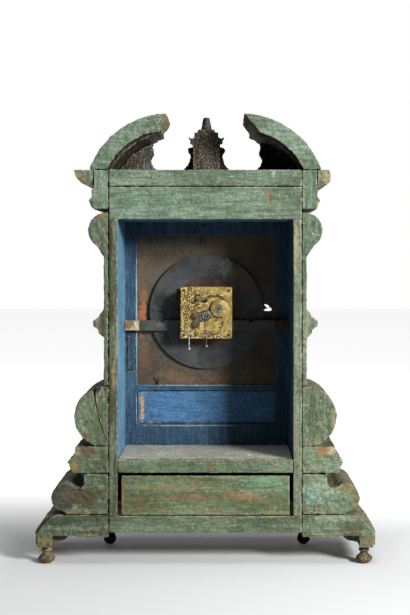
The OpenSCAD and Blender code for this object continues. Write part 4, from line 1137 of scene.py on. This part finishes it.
@dataclass
class Inside:
    """What the open back shows: board, panel, dial plate, nails, bar and hook."""

    nail_px: tuple[tuple[Place, ...], ...] = (
        ((149.6, 235.5), (149.2, 239.0), (148.2, 243.6)),
        ((150.6, 235.5), (151.2, 238.5), (152.6, 241.4)),
        ((201.0, 236.5), (200.6, 240.5), (200.8, 245.0)),
        ((204.6, 236.5), (204.4, 241.0), (205.8, 244.4)),
        ((156.4, 384.6), (156.2, 380.5), (154.0, 377.6)),
        ((157.4, 384.6), (158.4, 381.0), (158.2, 378.6)),
        ((255.8, 384.6), (255.2, 381.0), (256.6, 378.8)))
    nail_lift: float = 0.0004
    nail_r: float = 0.0008

    def build(self) -> None:
        """Build and dress the inside."""
        depth = BOARD_DEPTH
        board = blue(
            "board_blue", Grain.ALONG_Z, [
                patch(136.4, 310, 0.8, 76, (150, 172, 176), 0.6, depth),
                patch(137.0, 409, 0.8, 19, (150, 168, 168), 0.7, depth),
                patch(190, 425.6, 54, 0.7, (140, 158, 160), 0.8, depth),
                patch(131, 433, 1.2, 1.2, SOOT, 0.2, depth),
                patch(204, 225.5, 2.6, 2.0, (30, 36, 42), 0.5, depth),
                patch(195, 232, 3.0, 2.4, (34, 44, 52), 0.5, depth),
                patch(205, 385.4, 68, 0.7, (148, 164, 166), 0.8, depth),
                patch(229, 428, 2.0, 0.9, UMBER, 0.6, depth)],
            Blue.BOARD, wear=0.3, streaks=0.45)
        aged("front_board_worn", ["front_board"], board, FINE)
        panel = PaintedWood(
            "panel_blue", (75, 118, 158), (60, 100, 141), (98, 138, 168), under=(74, 96, 118),
            scrape=(150, 164, 164), grain=Grain.ALONG_X, wear=0.2, streaks=0.35, worms=0.0,
            mottled=0.2, patches=(
                patch(142.3, 409, 2.6, 17, (200, 162, 106), 1.0, PANEL_DEPTH),
                patch(150, 423.2, 13, 1.2, (190, 182, 152), 1.2, PANEL_DEPTH),
                patch(185, 424.2, 34, 0.6, (150, 154, 140), 1.0, PANEL_DEPTH)))
        aged(
            "lower_panel_worn", ["lower_panel"], panel,
            Age(voxel=0.002, dents=0.0005, chips=0.0004))
        self.dial()
        self.nails()
        self.bar()
        self.hook()

    def dial(self) -> None:
        """Finish the copper dial plate."""
        depth = DIAL_DEPTH
        rust = (140, 88, 52)
        plate = OldMetal(
            "copper_back", (88, 70, 56), (64, 51, 40), (72, 64, 48), metallic=0.1, rough=0.66,
            stained=0.45, scale=9.0, patches=(
                patch(207, 312, 72, 72, (84, 84, 68), 1.3, depth),
                # The rust and lighter orange-brown patches down the left edge are part rust, part
                # painted light.
                patch(142, 318, 5, 18, rust, 1.6, depth),
                patch(143, 306, 3.6, 15, (186, 106, 48), 1.2, depth),
                patch(142, 285, 5, 24, (104, 78, 58), 1.3, depth),
                patch(145, 360, 7, 14, (104, 76, 54), 1.2, depth),
                patch(165, 374, 12, 4, (108, 84, 62), 1.3, depth),
                # The two dark patches at the right edge are painted shade.
                patch(262, 350, 16, 30, (46, 38, 28), 2.0, depth),
                patch(262, 260, 16, 22, (48, 46, 34), 2.0, depth),
                patch(200, 378, 44, 4, (112, 82, 60), 2.0, depth),
                # The dark band along the top is painted shade.
                patch(205, 244, 56, 3, (60, 62, 46), 2.0, depth)))
        recoat(plate, "dial_plate")
        recoat(
            OldMetal(
                "carrier_copper", (70, 50, 40), (46, 34, 28), (86, 56, 38), metallic=0.15,
                rough=0.58, scale=18.0),
            "carrier_disc")

    def nails(self) -> None:
        """Bend the nails that hold the dial plate."""
        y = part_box("dial_nails")[1].y
        parts = []
        for index, points in enumerate(self.nail_px):
            path = []
            for step, (px, py) in enumerate(points):
                at = seen(px, py, BOARD_DEPTH)
                path.append((at[0], y + self.nail_lift * step, at[1]))
            parts.append(wire(f"nail_{index}", path, self.nail_r))
        iron = OldMetal(
            "nail_iron", (52, 48, 44), (26, 24, 22), (84, 58, 40), metallic=0.5, rough=0.6,
            scale=60.0)
        dress(merge("bent_nails", parts), "case", iron.make(), ["dial_nails"])

    def bar(self) -> None:
        """Finish the iron bar and its end blocks."""
        bar_iron = OldMetal(
            "bar_iron", (78, 82, 76), (54, 58, 54), (84, 74, 58), metallic=0.25, rough=0.6,
            stained=0.4, scale=26.0, patches=(patch(160, 325, 6, 3, (96, 92, 80), 1.2, 0.184),))
        recoat(bar_iron, "iron_bar")
        end_grain = PaintedWood(
            "block_wood", (196, 178, 142), (160, 138, 102), (214, 202, 172), under=(120, 92, 62),
            scrape=(214, 204, 180), grain=Grain.ALONG_Z, worms=0.1, patches=(
                patch(128.5, 325, 4.4, 5.6, (126, 96, 64), 0.5, BLOCK_DEPTH),
                # The near-black patch on the right block is painted shade.
                patch(284, 325, 15, 12, (28, 24, 20), 0.3, BLOCK_DEPTH)))
        aged(
            "bar_blocks_worn", ["bar_blocks"], end_grain,
            Age(voxel=0.0012, dents=0.0006, chips=0.0008))

    def hook(self) -> None:
        """Finish the wire hook and its staple, and outline a shallow recess behind them with dark
        lines of painted shade.
        """
        steel = OldMetal(
            "hook_wire", (120, 124, 122), (64, 66, 66), (92, 66, 46), metallic=0.8, rough=0.45,
            scale=90.0)
        recoat(steel, "hook", "hook_staple")
        low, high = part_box("hook")
        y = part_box("front_board")[1].y
        parts = []
        sunk, radius = 0.0002, 0.0007
        x0, x1 = low.x - 0.0015, high.x + 0.0005
        z0, z1 = low.z - 0.004, high.z + 0.012
        corners = [(x, y - sunk, z) for x, z in ((x0, z0), (x1, z0), (x1, z1), (x0, z1))]
        for index, corner in enumerate(corners):
            parts.append(wire(f"edge_{index}", [corner, corners[(index + 1) % 4]], radius))
        # The dark lines paint the shaded edges of a recess that is not cut.
        groove = PaintedWood("recess_painted_shade", (34, 46, 60), SOOT, (50, 66, 84), worms=0.0)
        dress(merge("hook_recess_shade_line", parts), "case", groove.make())


@dataclass
class HourWork:
    """Iron ring, mask and hour discs that turn behind the dial."""

    def build(self) -> None:
        """Dress the hour work and add the ring's lap joint."""
        depth = 0.196
        ring = OldMetal(
            "ring_iron", (70, 74, 75), (40, 43, 44), (66, 64, 54), metallic=0.2, rough=0.6,
            stained=0.5, scale=26.0, bumps=0.0008, patches=(
                patch(238, 276, 13, 12, (112, 92, 62), 1.7, depth),
                patch(229, 270, 8, 7, (96, 106, 84), 1.7, depth),
                patch(246, 286, 7, 9, (92, 70, 52), 1.7, depth)))
        recoat(ring, "carrier_ring")
        recoat(
            OldMetal(
                "mask_iron", (70, 74, 78), (48, 52, 54), (90, 74, 58), metallic=0.4, rough=0.5,
                scale=16.0),
            "carrier_mask")
        recoat(
            OldMetal(
                "disc_sheet", (72, 76, 78), (50, 54, 56), (78, 72, 60), metallic=0.3, rough=0.6,
                scale=22.0),
            "odd_hour_disc", "even_hour_disc")
        self.lap()

    def lap(self) -> None:
        """Rivet the lap joint of the ring, seen at the upper right."""
        low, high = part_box("carrier_ring")
        middle = ((low.x + high.x) / 2, (low.z + high.z) / 2)
        y = high.y
        inner, outer = 0.0846, 0.1374
        outline = []
        for radius, angle in ((inner, 138.0), (outer, 141.5), (outer, 134.5), (inner, 126.0)):
            turn = math.radians(angle)
            outline.append(
                (middle[0] + radius * math.cos(turn), middle[1] + radius * math.sin(turn)))
        strip = cut_sheet("lap", outline, y + 0.0007, y - 0.0002, 0.0002)
        iron = OldMetal(
            "lap_iron", (88, 84, 76), (58, 58, 56), (104, 86, 62), metallic=0.35, rough=0.55,
            scale=30.0)
        rivets = []
        turn = math.radians(134.0)
        for radius in (0.094, 0.111, 0.128):
            centre = (
                middle[0] + radius * math.cos(turn), y + 0.0005,
                middle[1] + radius * math.sin(turn))
            rivets.append(
                turned(
                    "rivet", [(0, 0.0009), (0.0008, 0.0008), (0.0014, 0.0004), (0.0015, 0)], centre,
                    True, 16))
        dress(merge("ring_lap_joint", [strip, *rivets]), "carrier", iron.make())


@dataclass
class Movement:
    """Square brass movement with its engraved plate and steel work."""

    plate_back: float = field(default_factory=lambda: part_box("back_plate")[1].y)
    middle: Place = field(
        default_factory=lambda: (0.0, (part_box("back_plate")[0].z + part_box("back_plate")[1].z) / 2))

    def build(self) -> None:
        """Dress the movement and add what the solids leave out."""
        brass = OldMetal(
            "plate_brass", (196, 170, 102), (136, 113, 59), (96, 77, 38), metallic=0.5, rough=0.42,
            stained=0.45, scale=46.0)
        recoat(brass, "front_plate", "plate_pillars")
        recoat(
            OldMetal(
                "chased_brass", (200, 174, 104), (136, 113, 59), (96, 77, 38), metallic=0.5,
                rough=0.4, stained=0.45, scale=46.0, bumps=0.0006, chased=True),
            "back_plate")
        recoat(
            OldMetal(
                "wheel_brass", (196, 160, 92), (150, 116, 60), (112, 86, 48), metallic=0.8,
                rough=0.35, scale=50.0),
            "carrier_wheel", "centre_wheel", "third_wheel", "escape_wheel", "barrel")
        recoat(
            OldMetal(
                "cap_brass", (190, 168, 104), (140, 118, 68), (100, 86, 58), metallic=0.45,
                rough=0.42, stained=0.5, scale=90.0, bumps=0.0006),
            "barrel_cap")
        recoat(
            OldMetal(
                "cock_tarnish", (118, 108, 70), (58, 56, 38), (44, 44, 32), metallic=0.4, rough=0.5,
                stained=0.7, scale=130.0, bumps=0.0008),
            "pendulum_cock")
        steel = OldMetal(
            "movement_steel", (124, 116, 98), (52, 48, 44), (92, 74, 48), metallic=0.75, rough=0.38,
            scale=80.0)
        recoat(steel, "regulator_work", "click_spring", "carrier_post", "winding_arbor", "click")
        bright = OldMetal(
            "bright_steel", (206, 204, 194), (128, 124, 116), (96, 80, 60), metallic=0.6, rough=0.3,
            scale=90.0)
        recoat(bright, "stop_lever")
        recoat(
            OldMetal(
                "rod_steel", (158, 154, 140), (96, 92, 84), (86, 72, 52), metallic=0.6, rough=0.35,
                scale=90.0),
            "pendulum")
        recoat(
            OldMetal(
                "dark_screws", (72, 60, 44), (34, 28, 22), (96, 74, 44), metallic=0.5, rough=0.5,
                scale=80.0),
            "movement_fasteners")
        self.engraving()
        self.bracket()
        self.spiral()
        self.cap_boss()
        self.screws()

    def at(self, x: float, z: float, lift: float = 0.0) -> Point:
        """Place a point on the back plate, from its middle, in millimetres."""
        return self.middle[0] + x * MM, self.plate_back + lift * MM, self.middle[1] + z * MM

    def scroll(self, x: float, z: float, size: float, start: float, turns: float,
               lean: int) -> list[Point]:
        """Find the points of one leaf scroll, a closing spiral."""
        count = 30
        points = []
        for i in range(count + 1):
            share = i / count
            radius = size * (1 - 0.82 * share)
            angle = math.radians(start) + lean * share * turns * math.tau
            points.append(self.at(x + radius * math.cos(angle), z + radius * math.sin(angle), 0.15))
        return points

    def engraving(self) -> None:
        """Chase generic leaf scrolls on the plate, as raised lines beside darker cuts."""
        scrolls = [
            (48, 46, 8.5, 200, 1.3, 1), (36, 34, 7.5, 20, 1.4, -1), (50, 24, 8.0, 150, 1.3, 1),
            (37, 14, 7.0, 320, 1.3, -1), (50, 2, 8.0, 190, 1.4, 1), (38, -8, 6.5, 30, 1.2, -1),
            (49, -20, 8.0, 170, 1.3, 1), (37, -28, 6.0, 330, 1.4, -1), (24, -46, 7.5, 60, 1.3, -1),
            (12, -50, 6.0, 240, 1.2, 1), (30, 50, 6.0, 240, 1.2, -1), (2, -46, 5.0, 120, 1.1, -1),
            (18, 52, 4.5, 20, 1.1, 1)]
        raised, cuts = [], []
        for index, (x, z, size, start, turns, lean) in enumerate(scrolls):
            points = self.scroll(x, z, size, start, turns, lean)
            raised.append(wire(f"scroll_{index}", points, 0.0011, sides=2))
            shifted = [(p[0] - 0.0017, p[1] - 0.0001, p[2] - 0.0012) for p in points]
            cuts.append(wire(f"cut_{index}", shifted, 0.001, sides=1))
            for leaf in range(3):
                p = points[4 + leaf * 7]
                away = Vector((p[0] - points[0][0], 0, p[2] - points[0][2])).normalized() * 0.004
                tip = (p[0] + away.x * 0.6 + 0.0014 * lean, p[1], p[2] + away.z * 0.6 + 0.002)
                raised.append(wire(f"leaf_{index}_{leaf}", [p, tip], 0.0009, sides=2))
        gilt = OldMetal(
            "scroll_gilt", (238, 210, 136), (190, 158, 90), (140, 112, 60), metallic=0.6, rough=0.3,
            scale=60.0)
        relief = merge("chased_scrolls", raised)
        for vertex in relief.data.vertices:
            vertex.co.y = self.plate_back + (vertex.co.y - self.plate_back) * 0.4
        dress(relief, "case", gilt.make())
        dark = OldMetal(
            "scroll_cuts", (84, 62, 34), (44, 32, 20), (60, 46, 28), metallic=0.3, rough=0.6,
            scale=90.0)
        dress(merge("scroll_cuts", cuts), "case", dark.make())

    def spiral(self) -> None:
        """Wind the small steel spiral and its claws over the cock."""
        lift = (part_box("pendulum_cock")[1].y - self.plate_back) / MM
        steps, turns, wide, narrow, down = 90, 2.4, 11.5, 4.0, -5
        points = []
        for i in range(steps):
            angle = i / steps * turns * math.tau
            radius = wide - (wide - narrow) * i / steps
            x, _, z = self.at(radius * math.cos(angle), down + radius * math.sin(angle))
            points.append((x, self.plate_back + (lift + 1.2) * MM, z))
        parts = [wire("spiral", points, 0.0006)]
        for angle in (25, 265):
            turn = math.radians(angle)
            a = self.at(3.5 * math.cos(turn), down + 3.5 * math.sin(turn), lift + 0.7)
            b = self.at(11 * math.cos(turn + 0.5), down + 11 * math.sin(turn + 0.5), lift + 0.5)
            parts.append(wire("claw", [a, b], 0.0007))
        hub = turned("hub", [(0, 0.0026), (0.0016, 0.0024), (0.0022, 0.0012), (0.0024, 0)],
                     self.at(0, down, lift), True, 20)
        # The thin dark round sheet under the spiral is painted shade, standing for the well it sits
        # in.
        well_shade_disc = turned(
            "spiral_well_shade", [(0, 0.0002), (0.0122, 0.0002), (0.0126, 0)], self.at(0, down, lift),
            True)
        black = OldMetal(
            "well_shade_dark", (46, 38, 26), (24, 20, 16), (36, 30, 22), metallic=0.2, rough=0.7,
            scale=90.0)
        dress(well_shade_disc, "case", black.make())
        steel = OldMetal(
            "spiral_steel", (196, 192, 182), (96, 92, 86), (70, 56, 44), metallic=0.8, rough=0.32,
            scale=90.0)
        dress(merge("steel_spiral", [*parts, hub]), "case", steel.make())

    def bracket(self) -> None:
        """Lay the flat bracket round the cap, the arc groove below it, the slot at the left, and dark
        lines of painted shadow round the cap and under the lever.
        """
        edge = [
            (-43.4, 32.7), (-50.5, 20), (-53.5, 5), (-50, -6), (-45, -12.8), (-34, -17.5),
            (-21, -19)]
        rim = wire("bracket_rim", [self.at(x, z, 0.4) for x, z in edge], 0.0009)
        inner = [(12.6, -19), (6, -17), (-6, -13.5), (-18, -11.2), (-30, -10.4), (-40.3, -11.8)]
        groove = wire("arc_groove", [self.at(x, z, 0.05) for x, z in inner], 0.0008)
        slot = wire("slot_line", [self.at(27, z, 0.05) for z in (51, 36, 22)], 0.0011)
        # Dark lines round the cap and under the lever are painted shadows.
        cap_x, cap_z, cap_r = -36.2, 10.3, 22.6
        ring = [self.at(cap_x + cap_r * math.cos(a), cap_z + cap_r * math.sin(a), 0.05)
                for a in (math.radians(8 * i) for i in range(45))]
        around = wire("cap_shadow", ring, 0.0007, closed=True)
        shaft = [self.at(x, z, 0.12) for x, z in ((-3, 35.5), (-12, 38.5), (-26, 40), (-40, 36))]
        second = wire("lever_shadow", shaft, 0.0008)
        ends = (((-8, 42), (-24, 44)), ((-24, 44), (-40, 41)), ((10, 19), (30, 12)),
                ((-4, 22), (10, 19)), ((12, -30), (20, -36)))
        arms = [wire("gilt_arm", [self.at(*a, 0.9), self.at(*b, 0.9)], 0.0012) for a, b in ends]
        gilt = OldMetal(
            "bracket_gilt", (232, 206, 134), (176, 146, 82), (120, 96, 54), metallic=0.6,
            rough=0.32, scale=60.0)
        dress(merge("bracket_rim", [rim, *arms]), "case", gilt.make())
        dark = OldMetal(
            "groove_and_shadow_dark", (60, 44, 24), (30, 22, 14), (46, 36, 22), metallic=0.2, rough=0.7,
            scale=90.0)
        dress(
            merge("plate_grooves_and_shadows", [groove, slot, around, second]), "case",
            dark.make())

    def cap_boss(self) -> None:
        """Turn the grey washer inside the domed cap."""
        low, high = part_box("barrel_cap")
        centre = ((low.x + high.x) / 2, high.y - 0.0006, (low.z + high.z) / 2)
        profile = [
            (0.0045, 0.0), (0.0046, 0.0008), (0.0066, 0.0011), (0.0092, 0.0006), (0.0096, 0.0)]
        washer = turned("cap_washer", [*profile, profile[0]], centre, True)
        grey = OldMetal(
            "washer_grey", (150, 138, 112), (106, 94, 74), (88, 76, 56), metallic=0.5, rough=0.4,
            scale=80.0)
        dress(washer, "case", grey.make())

    def screws(self) -> None:
        """Drive slotted screws where the photo shows dark heads."""
        heads = [
            (-31.5, -34.3, 2.0), (22.5, -32, 2.2), (17.5, 42.7, 1.7), (-2.4, 46, 1.6),
            (-26, -15, 1.9), (-45, 40, 1.6), (41, -50, 2.2), (8, -42, 1.4), (-12, 26, 1.4)]
        parts = []
        for x, z, radius in heads:
            profile = [
                (0, 0.0012), (radius * 0.8 * MM, 0.0011), (radius * MM, 0.0006),
                (radius * MM, -0.0003)]
            screw = turned("screw", profile, self.at(x, z, 0.0), True, 20)
            hold(screw)
            cx, cy, cz = self.at(x, z)
            reach, half = radius * MM * 1.2, 0.00025
            outline = [
                (cx + a * reach, cz + b * half) for a, b in ((-1, -1), (1, -1), (1, 1), (-1, 1))]
            slot = cut_sheet("slot", outline, cy + 0.002, cy + 0.0006, 0)
            carve(screw, slot)
            parts.append(screw)
        dark = OldMetal(
            "screw_heads", (84, 72, 54), (38, 32, 26), (60, 48, 34), metallic=0.6, rough=0.45,
            scale=90.0)
        dress(merge("slotted_screws", parts), "case", dark.make())


@dataclass
class DrawerSet:
    """Drawer with its painted back and dark front."""

    def build(self) -> None:
        """Build and dress the drawer."""
        paint = PaintedWood(
            "drawer_green", (112, 126, 92), (88, 98, 66), (128, 150, 120), under=(128, 96, 62),
            scrape=(150, 156, 128), grain=Grain.ALONG_X, wear=0.95, streaks=1.0, worms=0.05,
            mottled=0.7, patches=(
                patch(250, 494, 20, 4, (150, 120, 84), 2.4, DRAWER_DEPTH),
                patch(185, 497, 22, 3, (146, 112, 84), 2.6, DRAWER_DEPTH),
                patch(264, 485, 20, 7, (122, 158, 128), 2.4, DRAWER_DEPTH),
                patch(140, 505, 16, 8, (104, 94, 60), 2.2, DRAWER_DEPTH),
                patch(170, 486, 34, 3, (136, 138, 96), 2.4, DRAWER_DEPTH),
                patch(276, 512, 12, 1.4, (164, 144, 96), 2.2, DRAWER_DEPTH),
                patch(122.5, 496, 1.6, 20, (140, 124, 78), 1.2, DRAWER_DEPTH)))
        piece = aged("drawer_box_worn", ["drawer_box"], paint, OLD, "drawer")
        self.nail_holes(piece)
        walnut = PaintedWood(
            "walnut_front", (70, 46, 32), (40, 26, 18), (98, 68, 46), under=(110, 80, 54),
            scrape=(120, 94, 66), grain=Grain.ALONG_X, wear=0.2, streaks=0.6, worms=0.05)
        aged("drawer_front_worn", ["drawer_front"], walnut, OLD, "drawer")
        recoat(walnut, "drawer_knob")

    def nail_holes(self, piece: bpy.types.Object) -> None:
        """Stud the drawer's back with the nails along its lower edge."""
        low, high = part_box("drawer_box")
        heads = []
        for x, y in (
                (149, 514.5), (188, 515), (203, 512.5), (232, 514), (262, 514), (131, 513),
                (277, 512)):
            at = seen(x, y, DRAWER_DEPTH)
            heads.append(
                turned(
                    "nail", [(0, 0.0002), (0.0014, 0.0001), (0.0019, -0.0006), (0.0019, -0.002)],
                    (at[0], high.y - 0.0004, max(at[1], low.z + 0.003)), True, 14))
        iron = OldMetal(
            "nail_heads", (40, 34, 30), SOOT, (70, 48, 34), metallic=0.3, rough=0.7, scale=90.0)
        dress(merge("drawer_nails", heads), "drawer", iron.make())


@dataclass
class Front:
    """Mouldings and columns of the dial side, and the feet."""

    def build(self) -> None:
        """Build and dress the front and the feet."""
        walnut = PaintedWood(
            "walnut_case", (66, 44, 32), (38, 25, 18), (96, 66, 46), under=(112, 84, 56),
            scrape=(124, 98, 70), grain=Grain.ALONG_X, wear=0.2, streaks=0.6, worms=0.05)
        aged("front_mouldings_worn", ["front_mouldings"], walnut, OLD)
        upright = PaintedWood(
            "walnut_columns", (74, 48, 34), (42, 27, 19), (104, 72, 50), under=(112, 84, 56),
            scrape=(130, 104, 76), grain=Grain.ALONG_Z, wear=0.2, streaks=0.7, worms=0.05)
        aged(
            "front_columns_worn", ["front_columns"], upright,
            Age(voxel=0.002, dents=0.0006, chips=0.0006))
        gilt = OldMetal(
            "worn_gilding", (156, 136, 96), (84, 72, 50), (62, 54, 40), metallic=0.2, rough=0.55,
            stained=0.6, scale=80.0, bumps=0.0012)
        recoat(gilt, "turned_feet")
        ball = PaintedWood(
            "ball_black", (32, 27, 22), (18, 15, 13), (54, 46, 36), grain=Grain.ALONG_Z, worms=0.1)
        aged(
            "ball_feet_worn", ["ball_feet"], ball,
            Age(voxel=0.0016, dents=0.0006, chips=0.0008))
        raw = PaintedWood(
            "guide_wood", (168, 142, 104), (132, 106, 74), (190, 166, 128), grain=Grain.ALONG_Y,
            worms=0.05)
        recoat(raw, "drawer_guides")


@dataclass
class Studio:
    """Camera, pale floor and plain soft lights."""

    target: Point = (0.0, 0.05, 0.5)
    key_place: Point = (-2.15, 2.3, 1.6)
    key_size: float = 0.75
    key_power: float = 178.0
    fill_place: Point = (1.6, 2.6, 0.9)
    fill_size: float = 1.6
    fill_power: float = 0.6
    front_place: Point = (0.8, -2.6, 1.8)
    front_size: float = 1.8
    front_power: float = 8.4
    top_place: Point = (0.0, 0.4, 3.3)
    top_size: float = 1.6
    top_power: float = 38.0
    sky: float = 0.035
    floor_size: float = 26.0
    floor_bounce: Linear = (0.2, 0.2, 0.2, 1.0)
    floor_shown: Linear = (0.68, 0.69, 0.69, 1.0)

    def build(self) -> None:
        """Set up the studio."""
        self.camera()
        self.floor()
        self.lamp("key", self.key_place, self.key_size, self.key_power)
        self.lamp("fill", self.fill_place, self.fill_size, self.fill_power)
        self.lamp("front_fill", self.front_place, self.front_size, self.front_power)
        self.lamp("top", self.top_place, self.top_size, self.top_power)
        self.world()
        bpy.context.scene.view_settings.view_transform = "Standard"

    def camera(self) -> None:
        """Stand the camera where the photo was taken."""
        lens = bpy.data.cameras.new("camera")
        lens.sensor_width = SENSOR
        lens.lens = SENSOR * CAMERA_FAR / (FRAME_H * PIXEL)
        lens.shift_x = -(EYE_PX[0] - FRAME_W / 2) / FRAME_H
        lens.shift_y = -(FRAME_H / 2 - EYE_PX[1]) / FRAME_H
        eye = placed("camera", lens)
        x, z = seen(*EYE_PX)
        eye.location = (x, BACK_Y + CAMERA_FAR, z)
        eye.rotation_euler = (math.radians(90), 0, math.radians(180))
        bpy.context.scene.camera = eye

    def lamp(self, name: str, place: Point, size: float, power: float) -> None:
        """Hang one soft square lamp that faces the clock."""
        light = bpy.data.lights.new(name, "AREA")
        light.shape = "SQUARE"
        light.size = size
        light.energy = power
        lamp = placed(name, light)
        lamp.location = place
        lamp.rotation_euler = (
            Vector(self.target) - Vector(place)).to_track_quat("-Z", "Y").to_euler()

    def floor(self) -> None:
        """Lay a wide pale floor that fades to white far behind the clock and glows lighter beside it;
        the glow is left out near the case, which paints the floor there darker.
        """
        bpy.ops.mesh.primitive_plane_add(size=self.floor_size)
        floor = bpy.context.view_layer.objects.active
        floor.name = "pale_floor"
        g = Graph("pale_floor")
        g.tree.nodes.remove(g.shader)
        matt = g.add("ShaderNodeBsdfDiffuse")
        glow = g.add("ShaderNodeEmission")
        path = g.add("ShaderNodeLightPath")
        shown = g.math("MAXIMUM", path.outputs["Is Camera Ray"], path.outputs["Is Glossy Ray"])
        shown = g.math("MAXIMUM", shown, path.outputs["Is Transmission Ray"])
        g.join(g.blend(shown, self.floor_bounce, self.floor_shown), matt.inputs["Color"])
        behind = g.smooth(g.axis("Y"), -0.85, 0.0, 0.9, 0.04)
        # The glow is left out in a strip as wide as the case: painted shade near it, painted light
        # beside it.
        beside = g.smooth(g.math("ABSOLUTE", g.axis("X")), 0.36, 0.7, 0.0, 0.36)
        level = g.math("MAXIMUM", behind, beside)
        g.join(g.times(shown, level), glow.inputs["Strength"])
        both = g.add("ShaderNodeAddShader")
        g.join(matt.outputs[0], both.inputs[0])
        g.join(glow.outputs[0], both.inputs[1])
        g.join(both.outputs[0], g.output.inputs["Surface"])
        floor.data.materials.append(g.material)

    def world(self) -> None:
        """Light from all round at a plain level, and show white where a ray misses."""
        world = bpy.data.worlds.new("studio")
        bpy.context.scene.world = world
        world.use_nodes = True
        tree = world.node_tree
        tree.nodes.clear()
        output = tree.nodes.new("ShaderNodeOutputWorld")
        dim = tree.nodes.new("ShaderNodeBackground")
        dim.inputs["Color"].default_value = (1.0, 1.0, 1.0, 1.0)
        path = tree.nodes.new("ShaderNodeLightPath")
        strength = tree.nodes.new("ShaderNodeMapRange")
        strength.inputs["To Min"].default_value = self.sky
        strength.inputs["To Max"].default_value = 1.0
        tree.links.new(path.outputs["Is Camera Ray"], strength.inputs["Value"])
        tree.links.new(strength.outputs[0], dim.inputs["Strength"])
        tree.links.new(dim.outputs[0], output.inputs["Surface"])


def main() -> None:
    """Build the studio and every sub-assembly in order."""
    logging.basicConfig(level=logging.INFO, format="%(message)s")
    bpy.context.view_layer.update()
    Studio().build()
    for part in (Case(), Wings(), Crown(), Inside(), HourWork(), Movement(), DrawerSet(), Front()):
        part.build()
        log.info("built %s", type(part).__name__)
    deselect()


if __name__ == "__main__":
    main()
